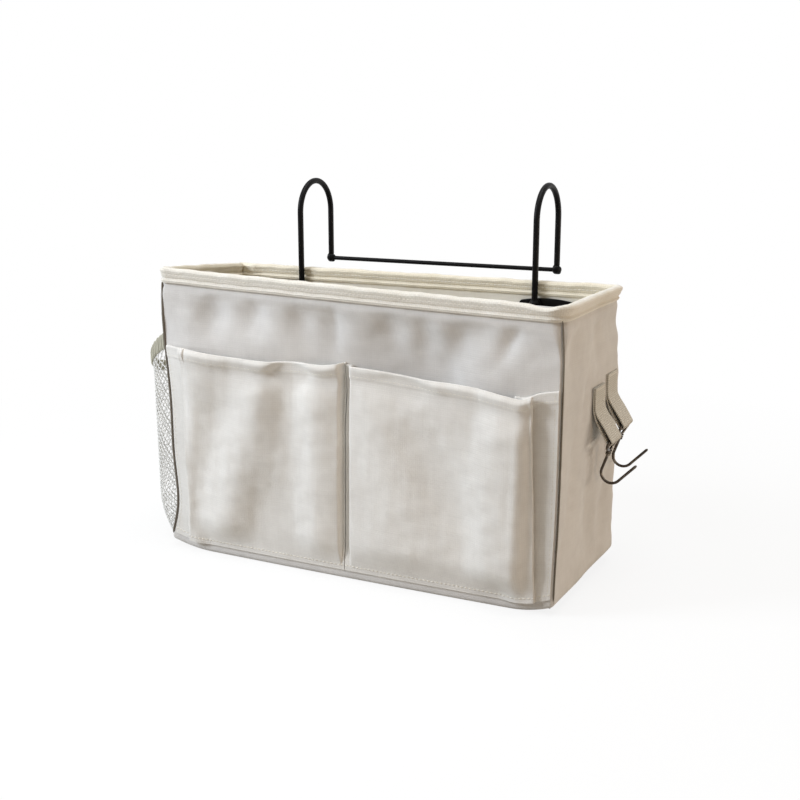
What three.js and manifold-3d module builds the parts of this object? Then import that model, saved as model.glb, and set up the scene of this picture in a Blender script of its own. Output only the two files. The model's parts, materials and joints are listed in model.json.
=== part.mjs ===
// Bedside caddy: a boarded canvas bag with two pleated front pockets, a net pocket on its left side,
// two tape loops with wire hooks on its right side and a wire hanger riveted inside its back wall.
// Millimetres. +X runs to the right along the front, +Y to the back and +Z up, and the origin is the
// centre of the underside of the base.
import * as THREE from 'three';
import { mergeVertices } from 'three/addons/utils/BufferGeometryUtils.js';
import Module from 'manifold-3d';

const wasm = await Module();
wasm.setup();

// Driving dimensions: bag
const bagWidth = 350;
const bagDepth = 130;
const bagHeight = 230;
const canvasThickness = 1;
const boardThickness = 2;
const baseBoardThickness = 2.5;
const liningThickness = 0.8;
const fit = 0.3; // clearance between pieces that touch

// Driving dimensions: rim
const bindingThickness = 1;
const bindingHeight = 12;
const bindingCorner = 1.3;
const rimWireRadius = 1;
const rimWireBend = 4;
const rimWireJoint = 1; // gap between the wire's two ends

// Driving dimensions: front pockets
const pocketTop = 167;
const pocketBottom = 8;
const pleatStrip = 20; // from the bag's side to the pocket's fold
const pleatDepth = 12; // cloth tucked behind the fold
const pleatBlend = 24; // stretch beside the tuck over which the front comes down to the bag
const pocketMouth = 9; // how far the fold stands off the bag at the mouth
const pocketCrown = 4; // extra swell in the middle of the pocket
const bottomRise = 30; // height over which the pocket leaves the bag's face
const seamHalf = 2.2; // half of the flat stretch sewn down between the pockets
const seamSlope = 3; // stretch over which the cloth dips into that seam
const pocketRows = 6;
const frontSteps = 10;
const foldSteps = 4;

// Driving dimensions: net pocket
const netTop = 155;
const netBottom = 4;
const netInset = 3; // from the bag's corner to the net's sewn edge
const netBulge = 33;
const netThickness = 1.2;
const netStrand = 3;
const netColumns = 11;
const netRows = 15;
const netFullness = 4; // how square the net's plan is
const netBelly = 0.4; // how soon the net fills out above its bottom seam
const elasticHeight = 10;
const elasticThickness = 2;
const elasticSteps = 24;

// Driving dimensions: tape loops and their hooks
const tapeWidth = 25;
const tapeThickness = 1.2;
const tabTop = 158;
const tabHeight = 18;
const loopLength = 25;
const loopBelly = 4.2; // half width of the loop half way down
const loopLean = 31; // degrees off the side panel
const loopEdge = 1.5; // from the rear tape to the bag's back face
const loopGap = 2; // between the two hooks
const rearRaise = 5; // from the front loop up to the rear one
const loopThroat = 3; // where the two plies part
const hookWireRadius = 1.1;
const eyeShoulder = 4;
const eyeDrop = 10;
const eyeCorner = 2.5;
const eyeWeld = 1.45; // radius
const shankEnd = 26;
const hookBend = 8;
const hookTurn = 155; // degrees
const hookArm = 20;
const hookLean = 19.3; // degrees, hanging freely

// Driving dimensions: hanger
const hangerSpacing = 218;
const rodRadius = 2.5;
const hookSpan = 54; // between a hook's two legs
const hookRise = 74.5; // from the rim to the top of the rod's centre line
const crossbarRise = 3.3; // from the rim to the crossbar's centre line
const crossbarRadius = 2;
const crossbarOverhang = 4.5;
const crossbarWeld = 4.4; // radius
const plateDrop = 16.5; // from the rim to the foot plate's top
const plateHeight = 18;
const plateThickness = 2;
const plateInner = 14; // from the rod towards the middle of the bag
const plateOuter = 34; // from the rod towards the side of the bag
const plateCorner = 2;
const rodSeat = 12; // length of rod lying on the plate
const footWeld = [5.4, 7.2, 5]; // half sizes
const footWeldDrop = 2;
const rivetInner = 9.5;
const rivetOuter = 24;
const rivetRadius = 2;
const rivetHeadRadius = 3.6;
const rivetHead = 1.2;
const washerRadius = 5;
const washerThickness = 0.8;

// Fineness of round sections
const wireSides = 8;
const roundSides = 16;
const bendSteps = 10;
const cornerSteps = 4;

// Finishes
const canvasFinish = { color: 0xe6e1d3, roughness: 0.95, metalness: 0 };
const liningFinish = { color: 0xded5bb, roughness: 0.95, metalness: 0 };
const boardFinish = { color: 0xb9b4a6, roughness: 0.85, metalness: 0 };
const tapeFinish = { color: 0xb9b3a2, roughness: 0.9, metalness: 0 };
const netFinish = { color: 0xe4e2da, roughness: 0.85, metalness: 0 };
const elasticFinish = { color: 0xcfcbb0, roughness: 0.9, metalness: 0 };
const blackFinish = { color: 0x141414, roughness: 0.45, metalness: 0.4 };
const wireFinish = { color: 0x4a443b, roughness: 0.35, metalness: 1 };
const steelFinish = { color: 0x8f8f8c, roughness: 0.35, metalness: 1 };

// Places that several pieces share
const halfWidth = bagWidth / 2;
const halfDepth = bagDepth / 2;
const boardIn = canvasThickness + fit;
const liningIn = boardIn + boardThickness + fit;
const wall = liningIn + liningThickness;
const panelTop = bagHeight - bindingThickness - fit;
const rimWireHeight = panelTop - rimWireRadius;
const boardTop = rimWireHeight - rimWireRadius - fit;
const boardFoot = boardIn + baseBoardThickness + fit;
const liningFoot = boardFoot + liningThickness + fit;

const caddy = new THREE.Group();

function addPiece(name, geometry, finish, parent = caddy) {
  const mesh = new THREE.Mesh(geometry, new THREE.MeshStandardMaterial(finish));
  mesh.name = name;
  parent.add(mesh);
  return mesh;
}

// A box between two opposite corners.
function block(low, high) {
  const size = high.map((value, i) => value - low[i]);
  const geometry = new THREE.BoxGeometry(...size);
  return geometry.translate(...low.map((value, i) => value + size[i] / 2));
}

function toSolid(geometry) {
  const bare = geometry.clone();
  bare.deleteAttribute('normal');
  bare.deleteAttribute('uv');
  const merged = mergeVertices(bare);
  const vertProperties = merged.attributes.position.array;
  const triVerts = Uint32Array.from(merged.index.array);
  return new wasm.Manifold(new wasm.Mesh({ numProp: 3, vertProperties, triVerts }));
}

function toGeometry(solid) {
  const mesh = solid.getMesh();
  const geometry = new THREE.BufferGeometry();
  geometry.setAttribute('position', new THREE.BufferAttribute(mesh.vertProperties, 3));
  geometry.setIndex(new THREE.BufferAttribute(mesh.triVerts, 1));
  geometry.computeVertexNormals();
  return geometry;
}

function join(first, ...others) {
  return toGeometry(others.reduce((sum, other) => sum.add(toSolid(other)), toSolid(first)));
}

function cut(first, ...tools) {
  return toGeometry(tools.reduce((rest, tool) => rest.subtract(toSolid(tool)), toSolid(first)));
}

// A path that an extrusion follows point by point, with its sections mitred at the points.
class Route extends THREE.Curve {
  constructor(points) {
    super();
    this.points = points;
  }

  getPoint(t, target = new THREE.Vector3()) {
    const last = this.points.length - 1;
    const i = Math.min(Math.floor(t * last), last - 1);
    return target.lerpVectors(this.points[i], this.points[i + 1], t * last - i);
  }

  getPointAt(u, target) {
    return this.getPoint(u, target);
  }

  getTangent(t, target = new THREE.Vector3()) {
    const last = this.points.length - 1;
    const i = Math.round(t * last);
    const here = this.points[i];
    const arriving = here.clone().sub(this.points[Math.max(i - 1, 0)]).normalize();
    const leaving = this.points[Math.min(i + 1, last)].clone().sub(here).normalize();
    return target.copy(arriving).add(leaving).normalize();
  }

  getTangentAt(u, target) {
    return this.getTangent(u, target);
  }
}

function circle(radius, sides) {
  const corners = Array.from({ length: sides }, (unused, i) => (i + 0.5) * 2 * Math.PI / sides);
  return new THREE.Shape(corners.map(
    (angle) => new THREE.Vector2(radius * Math.cos(angle), radius * Math.sin(angle))));
}

function tube(points, radius, sides = wireSides) {
  return new THREE.ExtrudeGeometry(circle(radius, sides), {
    steps: points.length - 1,
    extrudePath: new Route(points),
  });
}

// A rod of round section from one point to another.
function rod(from, to, radius, sides = roundSides) {
  return tube([from, to], radius, sides);
}

// Points of an arc about a centre, in the plane of two axes.
function arc(centre, across, up, radius, from, to, steps) {
  return Array.from({ length: steps + 1 }, (unused, i) => {
    const angle = from + (to - from) * i / steps;
    return centre.clone()
      .addScaledVector(across, radius * Math.cos(angle))
      .addScaledVector(up, radius * Math.sin(angle));
  });
}

// A path through corner points with each inner corner rounded.
function roundedPath(corners, radius) {
  const points = [corners[0]];
  for (let i = 1; i < corners.length - 1; i += 1) {
    const here = corners[i];
    const start = here.clone().add(corners[i - 1].clone().sub(here).setLength(radius));
    const end = here.clone().add(corners[i + 1].clone().sub(here).setLength(radius));
    points.push(...new THREE.QuadraticBezierCurve3(start, here, end).getPoints(cornerSteps));
  }
  return [...points, corners[corners.length - 1]];
}

// A closed solid between two grids of points, with faces only where present(i, j) says.
function gridSolid(outer, inner, present = () => true) {
  const rows = outer.length - 1;
  const columns = outer[0].length - 1;
  const width = columns + 1;
  const innerStart = (rows + 1) * width;
  const positions = [...outer.flat(), ...inner.flat()].flatMap((point) => point.toArray());
  const index = [];
  const quad = (a, b, c, d) => index.push(a, b, c, a, c, d);
  const filled = (i, j) => i >= 0 && j >= 0 && i < rows && j < columns && present(i, j);
  for (let i = 0; i < rows; i += 1) {
    for (let j = 0; j < columns; j += 1) {
      if (filled(i, j)) {
        const a = i * width + j;
        const b = a + 1;
        const c = a + width + 1;
        const d = a + width;
        const under = (corner) => corner + innerStart;
        quad(a, b, c, d);
        quad(under(d), under(c), under(b), under(a));
        if (!filled(i - 1, j)) quad(b, a, under(a), under(b));
        if (!filled(i + 1, j)) quad(d, c, under(c), under(d));
        if (!filled(i, j - 1)) quad(a, d, under(d), under(a));
        if (!filled(i, j + 1)) quad(c, b, under(b), under(c));
      }
    }
  }
  const geometry = new THREE.BufferGeometry();
  geometry.setAttribute('position', new THREE.Float32BufferAttribute(positions, 3));
  geometry.setIndex(index);
  geometry.computeVertexNormals();
  return geometry;
}

// Moves a plan path sideways by a distance, with mitred corners.
function offsetPath(path, distance) {
  return path.map((here, i) => {
    const arriving = here.clone().sub(path[Math.max(i - 1, 0)]);
    const leaving = path[Math.min(i + 1, path.length - 1)].clone().sub(here);
    const first = (i > 0 ? arriving : leaving).normalize();
    const second = (i < path.length - 1 ? leaving : arriving).normalize();
    const sum = first.clone().add(second).normalize();
    const mitre = distance / sum.dot(first);
    return new THREE.Vector2(here.x + sum.y * mitre, here.y - sum.x * mitre);
  });
}

// Outer cloth: front and back run the full width, the sides and base fit between them.
const clothX = halfWidth - canvasThickness - fit;
const clothY = halfDepth - canvasThickness - fit;

// Rivets sit in the hanger's foot plates and go right through the back wall.
const plateTop = bagHeight - plateDrop;
const plateMiddle = plateTop - plateHeight / 2;
const hangerX = hangerSpacing / 2;
const plateBack = halfDepth - wall - fit;
const plateFront = plateBack - plateThickness;
const rivetPlaces = [-1, 1].flatMap(
  (side) => [-rivetInner, rivetOuter].map((along) => side * (hangerX + along)));
const rivetHoles = rivetPlaces.map((x) => rod(
  new THREE.Vector3(x, plateFront - fit, plateMiddle),
  new THREE.Vector3(x, halfDepth + fit, plateMiddle),
  rivetRadius + fit));

addPiece('front_panel', block(
  [-halfWidth, -halfDepth, 0],
  [halfWidth, canvasThickness - halfDepth, panelTop]), canvasFinish);
addPiece('back_panel', cut(block(
  [-halfWidth, halfDepth - canvasThickness, 0],
  [halfWidth, halfDepth, panelTop]), ...rivetHoles), canvasFinish);
addPiece('left_panel', block(
  [-halfWidth, -clothY, 0],
  [canvasThickness - halfWidth, clothY, panelTop]), canvasFinish);
addPiece('right_panel', block(
  [halfWidth - canvasThickness, -clothY, 0],
  [halfWidth, clothY, panelTop]), canvasFinish);
addPiece('base_panel', block(
  [-clothX, -clothY, 0],
  [clothX, clothY, canvasThickness]), canvasFinish);

// Boards that hold the walls up, standing on the base board.
const boardX = halfWidth - boardIn;
const boardY = halfDepth - boardIn;
const sideBoardY = boardY - boardThickness - fit;
addPiece('base_board', block(
  [-boardX, -boardY, boardIn],
  [boardX, boardY, boardIn + baseBoardThickness]), boardFinish);
addPiece('front_board', block(
  [-boardX, -boardY, boardFoot],
  [boardX, boardThickness - boardY, boardTop]), boardFinish);
addPiece('back_board', cut(block(
  [-boardX, boardY - boardThickness, boardFoot],
  [boardX, boardY, boardTop]), ...rivetHoles), boardFinish);
addPiece('left_board', block(
  [-boardX, -sideBoardY, boardFoot],
  [boardThickness - boardX, sideBoardY, boardTop]), boardFinish);
addPiece('right_board', block(
  [boardX - boardThickness, -sideBoardY, boardFoot],
  [boardX, sideBoardY, boardTop]), boardFinish);

// Lining inside the boards.
const liningX = halfWidth - liningIn;
const liningY = halfDepth - liningIn;
const sideLiningY = liningY - liningThickness - fit;
addPiece('base_lining', block(
  [-liningX, -liningY, boardFoot],
  [liningX, liningY, boardFoot + liningThickness]), liningFinish);
addPiece('front_lining', block(
  [-liningX, -liningY, liningFoot],
  [liningX, liningThickness - liningY, boardTop]), liningFinish);
addPiece('back_lining', cut(block(
  [-liningX, liningY - liningThickness, liningFoot],
  [liningX, liningY, boardTop]), ...rivetHoles), liningFinish);
addPiece('left_lining', block(
  [-liningX, -sideLiningY, liningFoot],
  [liningThickness - liningX, sideLiningY, boardTop]), liningFinish);
addPiece('right_lining', block(
  [liningX - liningThickness, -sideLiningY, liningFoot],
  [liningX, sideLiningY, boardTop]), liningFinish);

// Rim wire: one rod bent round the mouth, with its ends meeting at the middle of the back.
function rimWire() {
  const x = halfWidth - boardIn - rimWireRadius;
  const y = halfDepth - boardIn - rimWireRadius;
  const xAxis = new THREE.Vector3(1, 0, 0);
  const yAxis = new THREE.Vector3(0, 1, 0);
  const corners = [[1, 1], [1, -1], [-1, -1], [-1, 1]];
  const bends = corners.flatMap(([right, back], i) => {
    const centre = new THREE.Vector3(
      right * (x - rimWireBend), back * (y - rimWireBend), rimWireHeight);
    const from = Math.PI / 2 - i * Math.PI / 2;
    return arc(centre, xAxis, yAxis, rimWireBend, from, from - Math.PI / 2, cornerSteps);
  });
  const start = new THREE.Vector3(rimWireJoint / 2, y, rimWireHeight);
  const end = new THREE.Vector3(-rimWireJoint / 2, y, rimWireHeight);
  return tube([start, ...bends, end], rimWireRadius);
}
addPiece('rim_wire', rimWire(), steelFinish);

// Rim binding: a tape folded over the mouth, with a leg outside and a leg inside.
function roundedRectangle(x, y, radius, Outline = THREE.Shape) {
  const outline = new Outline();
  outline.moveTo(x, radius - y);
  outline.absarc(x - radius, y - radius, radius, 0, Math.PI / 2);
  outline.absarc(radius - x, y - radius, radius, Math.PI / 2, Math.PI);
  outline.absarc(radius - x, radius - y, radius, Math.PI, 1.5 * Math.PI);
  outline.absarc(x - radius, radius - y, radius, 1.5 * Math.PI, 2 * Math.PI);
  return outline;
}

function rectangleRing(outset, inset, corner, foot) {
  const outline = roundedRectangle(halfWidth + outset, halfDepth + outset, corner);
  const x = halfWidth - inset;
  const y = halfDepth - inset;
  outline.holes.push(new THREE.Path([
    new THREE.Vector2(-x, -y), new THREE.Vector2(-x, y),
    new THREE.Vector2(x, y), new THREE.Vector2(x, -y)]));
  const geometry = new THREE.ExtrudeGeometry(outline, {
    depth: bagHeight - foot, bevelEnabled: false, curveSegments: cornerSteps });
  return geometry.translate(0, 0, foot);
}
const bindingOutset = fit + bindingThickness;
const bindingInset = wall + fit;
const bindingFoot = bagHeight - bindingHeight;
const bindingReach = bindingInset + bindingThickness;
addPiece('rim_binding', join(
  rectangleRing(bindingOutset, -fit, bindingCorner, bindingFoot),
  rectangleRing(-bindingInset, bindingReach, bindingCorner, bindingFoot),
  rectangleRing(bindingOutset, bindingReach, bindingCorner, bagHeight - bindingThickness),
), canvasFinish);

// Front pocket: cloth sewn at the bag's corner, tucked into a pleat, carried across the front with a
// swell and sewn down at the middle. A plan path holds x from the middle and the distance off the bag.
const sewn = fit + canvasThickness / 2;
const layer = canvasThickness + fit;
const flatFold = sewn + 2 * layer;
const foldX = halfWidth - pleatStrip;
const tuckX = foldX - pleatDepth;

function pocketPath(height) {
  const rise = (height - pocketBottom) / (pocketTop - pocketBottom);
  const foldOff = flatFold + (pocketMouth - flatFold) * rise;
  const lift = THREE.MathUtils.smoothstep(height, pocketBottom, pocketBottom + bottomRise);
  const frontEnd = seamHalf + seamSlope;
  const plan = (x, off) => new THREE.Vector3(x, off, 0);
  const across = new THREE.Vector3(1, 0, 0);
  const out = new THREE.Vector3(0, 1, 0);
  const quarter = Math.PI / 2;
  const tuck = arc(plan(tuckX, sewn + layer / 2), across, out, layer / 2, 3 * quarter, quarter, foldSteps);
  const fold = arc(plan(foldX, foldOff - layer / 2), across, out, layer / 2, -quarter, quarter, foldSteps);
  const front = Array.from({ length: frontSteps }, (unused, i) => {
    const along = (i + 1) / frontSteps;
    const x = THREE.MathUtils.lerp(foldX, frontEnd, along);
    const overPleat = THREE.MathUtils.smoothstep(x, tuckX - pleatBlend, tuckX - layer);
    const flat = THREE.MathUtils.lerp(sewn, flatFold, Math.max(overPleat, lift));
    const swell = pocketCrown * lift * Math.sin(Math.PI * along);
    return plan(x, flat + foldOff - flatFold + swell);
  });
  const seam = [plan(seamHalf, sewn), plan(fit, sewn)];
  const points = [plan(halfWidth - fit, sewn), ...tuck, ...fold, ...front, ...seam];
  return points.map((point) => new THREE.Vector2(point.x, point.y));
}

function frontPocket(side) {
  const heights = Array.from({ length: pocketRows + 1 }, (unused, i) => THREE.MathUtils.lerp(
    pocketBottom, pocketTop, i / pocketRows));
  const surface = (distance) => heights.map((height) => offsetPath(pocketPath(height), distance).map(
    (point) => new THREE.Vector3(side * point.x, -halfDepth - point.y, height)));
  const faces = [surface(canvasThickness / 2), surface(-canvasThickness / 2)];
  return side > 0 ? gridSolid(faces[1], faces[0]) : gridSolid(faces[0], faces[1]);
}
addPiece('left_front_pocket', frontPocket(-1), canvasFinish);
addPiece('right_front_pocket', frontPocket(1), canvasFinish);

// Net pocket: a bulging net on the left side, with an elastic band along its mouth.
const netHalf = halfDepth - netInset;
const bandTop = netTop + fit + elasticHeight;

// A point of the pocket's surface: across runs from -1 at the front edge to 1 at the back edge.
function netPoint(across, height, off) {
  const rise = (height - netBottom) / (bandTop - netBottom);
  const belly = netBulge * Math.sin(rise * Math.PI / 2) ** netBelly;
  const bulge = belly * (1 - Math.abs(across) ** netFullness);
  return new THREE.Vector3(-halfWidth - fit - off - bulge, across * netHalf, height);
}

// The same surface moved by a distance along its normal.
function netShell(acrossValues, heights, off, distance) {
  const step = 0.001;
  return heights.map((height) => acrossValues.map((across) => {
    const along = Math.min(Math.max(across, step - 1), 1 - step);
    const level = Math.max(height, netBottom + step);
    const eastward = netPoint(along + step, level, off).sub(netPoint(along - step, level, off));
    const upward = netPoint(along, level + step, off).sub(netPoint(along, level, off));
    const normal = upward.cross(eastward).normalize();
    return netPoint(across, height, off).addScaledVector(normal, distance);
  }));
}

function net() {
  const lines = (count, low, high, strand) => Array.from({ length: 2 * count + 2 }, (unused, i) => {
    const cell = (high - low - strand) / count;
    return low + Math.floor(i / 2) * cell + (i % 2) * strand;
  });
  const acrossValues = lines(netColumns, -1, 1, netStrand / netHalf);
  const heights = lines(netRows, netBottom, netTop, netStrand);
  return gridSolid(
    netShell(acrossValues, heights, netThickness, -netThickness / 2),
    netShell(acrossValues, heights, netThickness, netThickness / 2),
    (i, j) => i % 2 === 0 || j % 2 === 0);
}
addPiece('mesh_pocket_net', net(), netFinish);

function elastic() {
  const acrossValues = Array.from({ length: elasticSteps + 1 }, (unused, i) => 2 * i / elasticSteps - 1);
  const heights = [netTop + fit, bandTop];
  return gridSolid(
    netShell(acrossValues, heights, elasticThickness, -elasticThickness / 2),
    netShell(acrossValues, heights, elasticThickness, elasticThickness / 2));
}
addPiece('mesh_pocket_elastic', elastic(), elasticFinish);

// Tape loop: the two ends of a tape sewn to the right side, and the loop that hangs below them.
const eyeHalf = tapeWidth / 2 + 2 * fit + hookWireRadius;
const rearLoopY = halfDepth - loopEdge - tapeWidth / 2;
const frontLoopY = rearLoopY - 2 * (eyeHalf + hookWireRadius) - loopGap;
const hingeX = halfWidth + fit + tapeThickness;
const hingeZ = tabTop - tabHeight - fit - tapeThickness;

function loopTape() {
  const inner = hookWireRadius + fit;
  const outer = inner + tapeThickness;
  const third = loopLength / 3;
  // A curve's middle lies at its belly when its two handles stand this far out.
  const handle = (belly, start, end) => (8 * belly - start - end) / 6;
  const outerHandle = handle(loopBelly, tapeThickness, outer);
  const innerHandle = handle(loopBelly - tapeThickness, 0, inner);
  const outline = new THREE.Shape();
  outline.absarc(0, 0, tapeThickness, 0, Math.PI);
  outline.bezierCurveTo(-outerHandle, -third, -outerHandle, -2 * third, -outer, -loopLength);
  outline.absarc(0, -loopLength, outer, Math.PI, 2 * Math.PI);
  outline.bezierCurveTo(outerHandle, -2 * third, outerHandle, -third, tapeThickness, 0);
  const gap = new THREE.Path();
  gap.moveTo(0, -loopThroat);
  gap.bezierCurveTo(-innerHandle, -third, -innerHandle, -2 * third, -inner, -loopLength);
  gap.absarc(0, -loopLength, inner, Math.PI, 2 * Math.PI);
  gap.bezierCurveTo(innerHandle, -2 * third, innerHandle, -third, 0, -loopThroat);
  outline.holes.push(gap);
  const geometry = new THREE.ExtrudeGeometry(outline, {
    depth: tapeWidth, bevelEnabled: false, curveSegments: bendSteps });
  return geometry.rotateX(Math.PI / 2).translate(0, tapeWidth / 2, 0);
}

// Wire hook: an eye round the tape, a shank and a hook that opens outwards.
function wireHook() {
  const corner = (y, z) => new THREE.Vector3(0, y, z);
  const throat = corner(0, -eyeDrop);
  const eye = roundedPath([
    throat, corner(-eyeHalf, -eyeShoulder), corner(-eyeHalf, 0),
    corner(eyeHalf, 0), corner(eyeHalf, -eyeShoulder), throat.clone()], eyeCorner);
  const turn = Math.PI + THREE.MathUtils.degToRad(hookTurn);
  const bend = arc(
    new THREE.Vector3(hookBend, 0, -shankEnd), new THREE.Vector3(1, 0, 0),
    new THREE.Vector3(0, 0, 1), hookBend, Math.PI, turn, bendSteps);
  const tip = bend[bendSteps].clone().add(
    new THREE.Vector3(-hookArm * Math.sin(turn), 0, hookArm * Math.cos(turn)));
  const shank = [corner(0, hookWireRadius - eyeDrop), ...bend, tip];
  const knot = new THREE.SphereGeometry(eyeWeld, wireSides, wireSides);
  return join(tube(eye, hookWireRadius), tube(shank, hookWireRadius), knot.translate(0, 0, -eyeDrop));
}

for (const [place, y, raise] of [['front', frontLoopY, 0], ['rear', rearLoopY, rearRaise]]) {
  addPiece(`${place}_loop_tab`, block(
    [halfWidth + fit, y - tapeWidth / 2, tabTop + raise - tabHeight],
    [halfWidth + fit + 2 * tapeThickness, y + tapeWidth / 2, tabTop + raise]), tapeFinish);
  const loop = new THREE.Group();
  loop.position.set(hingeX, y, hingeZ + raise);
  loop.rotation.y = -THREE.MathUtils.degToRad(loopLean);
  addPiece(`${place}_loop_tape`, loopTape(), tapeFinish, loop);
  const hook = addPiece(`${place}_wire_hook`, wireHook(), wireFinish, loop);
  hook.position.z = -loopLength;
  hook.rotation.y = THREE.MathUtils.degToRad(loopLean + hookLean);
  caddy.add(loop);
}

// Hanger: two rods bent over the back wall, a crossbar behind it and a foot plate inside it.
const frontLegY = plateFront - fit - rodRadius;
const rearLegY = frontLegY + hookSpan;
const crossbarHeight = bagHeight + crossbarRise;
const hangerBend = hookSpan / 2;

function hangerRod(x) {
  const spring = bagHeight + hookRise - hangerBend;
  const foot = new THREE.Vector3(x, frontLegY, plateTop - rodSeat);
  const end = new THREE.Vector3(x, rearLegY, crossbarHeight + crossbarRadius + fit);
  const over = arc(
    new THREE.Vector3(x, frontLegY + hangerBend, spring), new THREE.Vector3(0, -1, 0),
    new THREE.Vector3(0, 0, 1), hangerBend, 0, Math.PI, 2 * bendSteps);
  return tube([foot, ...over, end], rodRadius);
}

function footPlate(side) {
  const length = plateInner + plateOuter;
  const outline = roundedRectangle(length / 2, plateHeight / 2, plateCorner);
  const middle = side * (hangerX + (plateOuter - plateInner) / 2);
  const plate = new THREE.ExtrudeGeometry(outline, {
    depth: plateThickness, bevelEnabled: false, curveSegments: cornerSteps });
  plate.rotateX(Math.PI / 2).translate(middle, plateBack, plateMiddle);
  return cut(plate, ...rivetHoles);
}

// A blob of weld round the rod where it lies on the plate.
function footWeldBlob(x) {
  const blob = new THREE.SphereGeometry(1, roundSides, wireSides);
  blob.scale(...footWeld).translate(x, plateFront, plateTop - footWeldDrop);
  const reach = footWeld[1] + fit;
  const behind = block(
    [x - reach, plateFront - fit, plateTop - reach * 2],
    [x + reach, plateFront + reach, plateTop + reach]);
  const bore = rod(
    new THREE.Vector3(x, frontLegY, plateTop - reach * 2),
    new THREE.Vector3(x, frontLegY, plateTop + reach), rodRadius + fit, wireSides);
  return cut(blob, behind, bore);
}

// A blob of weld round the end of the rod's rear leg and the crossbar under it.
function crossbarWeldBlob(x) {
  const blob = new THREE.SphereGeometry(crossbarWeld, wireSides, wireSides);
  const top = crossbarHeight + crossbarWeld + fit;
  return cut(
    blob.translate(x, rearLegY, crossbarHeight),
    rod(
      new THREE.Vector3(x - top, rearLegY, crossbarHeight),
      new THREE.Vector3(x + top, rearLegY, crossbarHeight), crossbarRadius + fit, wireSides),
    rod(
      new THREE.Vector3(x, rearLegY, crossbarHeight),
      new THREE.Vector3(x, rearLegY, top), rodRadius + fit, wireSides));
}

for (const [name, side] of [['left', -1], ['right', 1]]) {
  const x = side * hangerX;
  addPiece(`${name}_hanger_rod`, hangerRod(x), blackFinish);
  addPiece(`${name}_foot_plate`, footPlate(side), blackFinish);
  addPiece(`${name}_foot_weld`, footWeldBlob(x), blackFinish);
  addPiece(`${name}_crossbar_weld`, crossbarWeldBlob(x), blackFinish);
}
addPiece('hanger_crossbar', rod(
  new THREE.Vector3(-hangerX - crossbarOverhang, rearLegY, crossbarHeight),
  new THREE.Vector3(hangerX + crossbarOverhang, rearLegY, crossbarHeight),
  crossbarRadius, wireSides), blackFinish);

// Rivets with a washer behind the back wall.
function turned(profile) {
  const points = profile.map(([radius, along]) => new THREE.Vector2(radius, along));
  return new THREE.LatheGeometry(points, roundSides);
}
const washerBack = halfDepth + fit + washerThickness;
rivetPlaces.forEach((x, i) => {
  const headFront = plateFront - fit - rivetHead;
  const tailFront = washerBack + fit;
  const tailBack = tailFront + rivetHead;
  const rivet = addPiece(`plate_rivet_${i + 1}`, turned([
    [0, headFront], [rivetHeadRadius, headFront], [rivetHeadRadius, headFront + rivetHead],
    [rivetRadius, headFront + rivetHead], [rivetRadius, tailFront],
    [rivetHeadRadius, tailFront], [rivetHeadRadius, tailBack], [0, tailBack]]), blackFinish);
  rivet.position.set(x, 0, plateMiddle);
  const bore = rivetRadius + fit;
  const washer = addPiece(`rivet_washer_${i + 1}`, turned([
    [bore, halfDepth + fit], [washerRadius, halfDepth + fit], [washerRadius, washerBack],
    [bore, washerBack], [bore, halfDepth + fit]]), steelFinish);
  washer.position.set(x, 0, plateMiddle);
});

export default caddy;
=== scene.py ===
"""Looks of a bedside caddy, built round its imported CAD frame. Metres, +Z up, +Y to the back."""
import json

import bmesh
import bpy
import numpy as np
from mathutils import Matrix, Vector


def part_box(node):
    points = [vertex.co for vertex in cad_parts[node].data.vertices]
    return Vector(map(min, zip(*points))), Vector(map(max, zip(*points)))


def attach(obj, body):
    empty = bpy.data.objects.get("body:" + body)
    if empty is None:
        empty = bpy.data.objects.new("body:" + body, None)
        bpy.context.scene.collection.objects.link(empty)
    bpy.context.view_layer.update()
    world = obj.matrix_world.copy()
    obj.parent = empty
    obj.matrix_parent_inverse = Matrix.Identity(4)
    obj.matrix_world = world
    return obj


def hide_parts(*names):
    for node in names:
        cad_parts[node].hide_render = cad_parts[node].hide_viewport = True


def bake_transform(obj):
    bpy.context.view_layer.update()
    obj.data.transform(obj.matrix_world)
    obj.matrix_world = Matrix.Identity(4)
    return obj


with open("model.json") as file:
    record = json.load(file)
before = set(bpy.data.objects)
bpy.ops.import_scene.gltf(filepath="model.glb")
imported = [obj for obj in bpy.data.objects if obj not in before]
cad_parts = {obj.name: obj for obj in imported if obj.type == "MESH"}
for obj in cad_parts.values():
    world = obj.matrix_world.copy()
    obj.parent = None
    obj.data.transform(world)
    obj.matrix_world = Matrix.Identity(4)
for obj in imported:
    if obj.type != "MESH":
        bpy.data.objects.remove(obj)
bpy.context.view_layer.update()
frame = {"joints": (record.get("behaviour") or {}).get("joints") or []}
MM = 0.001

# Canvas bag
# Off-white cotton canvas sewn into one open box over thin boards. It stands empty, so its front left
# corner is drawn up, its bottom corners round off and soft dents run down its faces.
panel_low, panel_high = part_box("front_panel")
half_width, half_depth, panel_top = panel_high.x, -panel_low.y, panel_high.z
binding_foot, rim_top = (corner.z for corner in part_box("rim_binding"))
rim_seam = binding_foot - 0.5 * MM
canvas_thickness = 1 * MM
edge_radius = 4 * MM  # folded edges low on the bag
mouth_radius = 15 * MM  # corners of the mouth
corners_open_from = 185 * MM
corner_lift = 9.8 * MM  # of the mouth's front left corner
right_curl, left_curl, curl_top = 9 * MM, 6 * MM, 75 * MM  # rise of the base's ends, and how far up it acts
right_curl_from, left_curl_from = 138 * MM, 130 * MM
right_edge_from, left_edge_from = 135 * MM, 125 * MM  # where the walls start to follow their upright edges
front_left_bow = ((0, 4.0), (31, 11.5), (86, 9.6), (129, 9.2), (179, 5.8), (230, 4.2))  # height, inwards
bow_from, bow_fade = 40 * MM, 8 * MM  # in front of the bag's middle, and out from its left side
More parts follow.
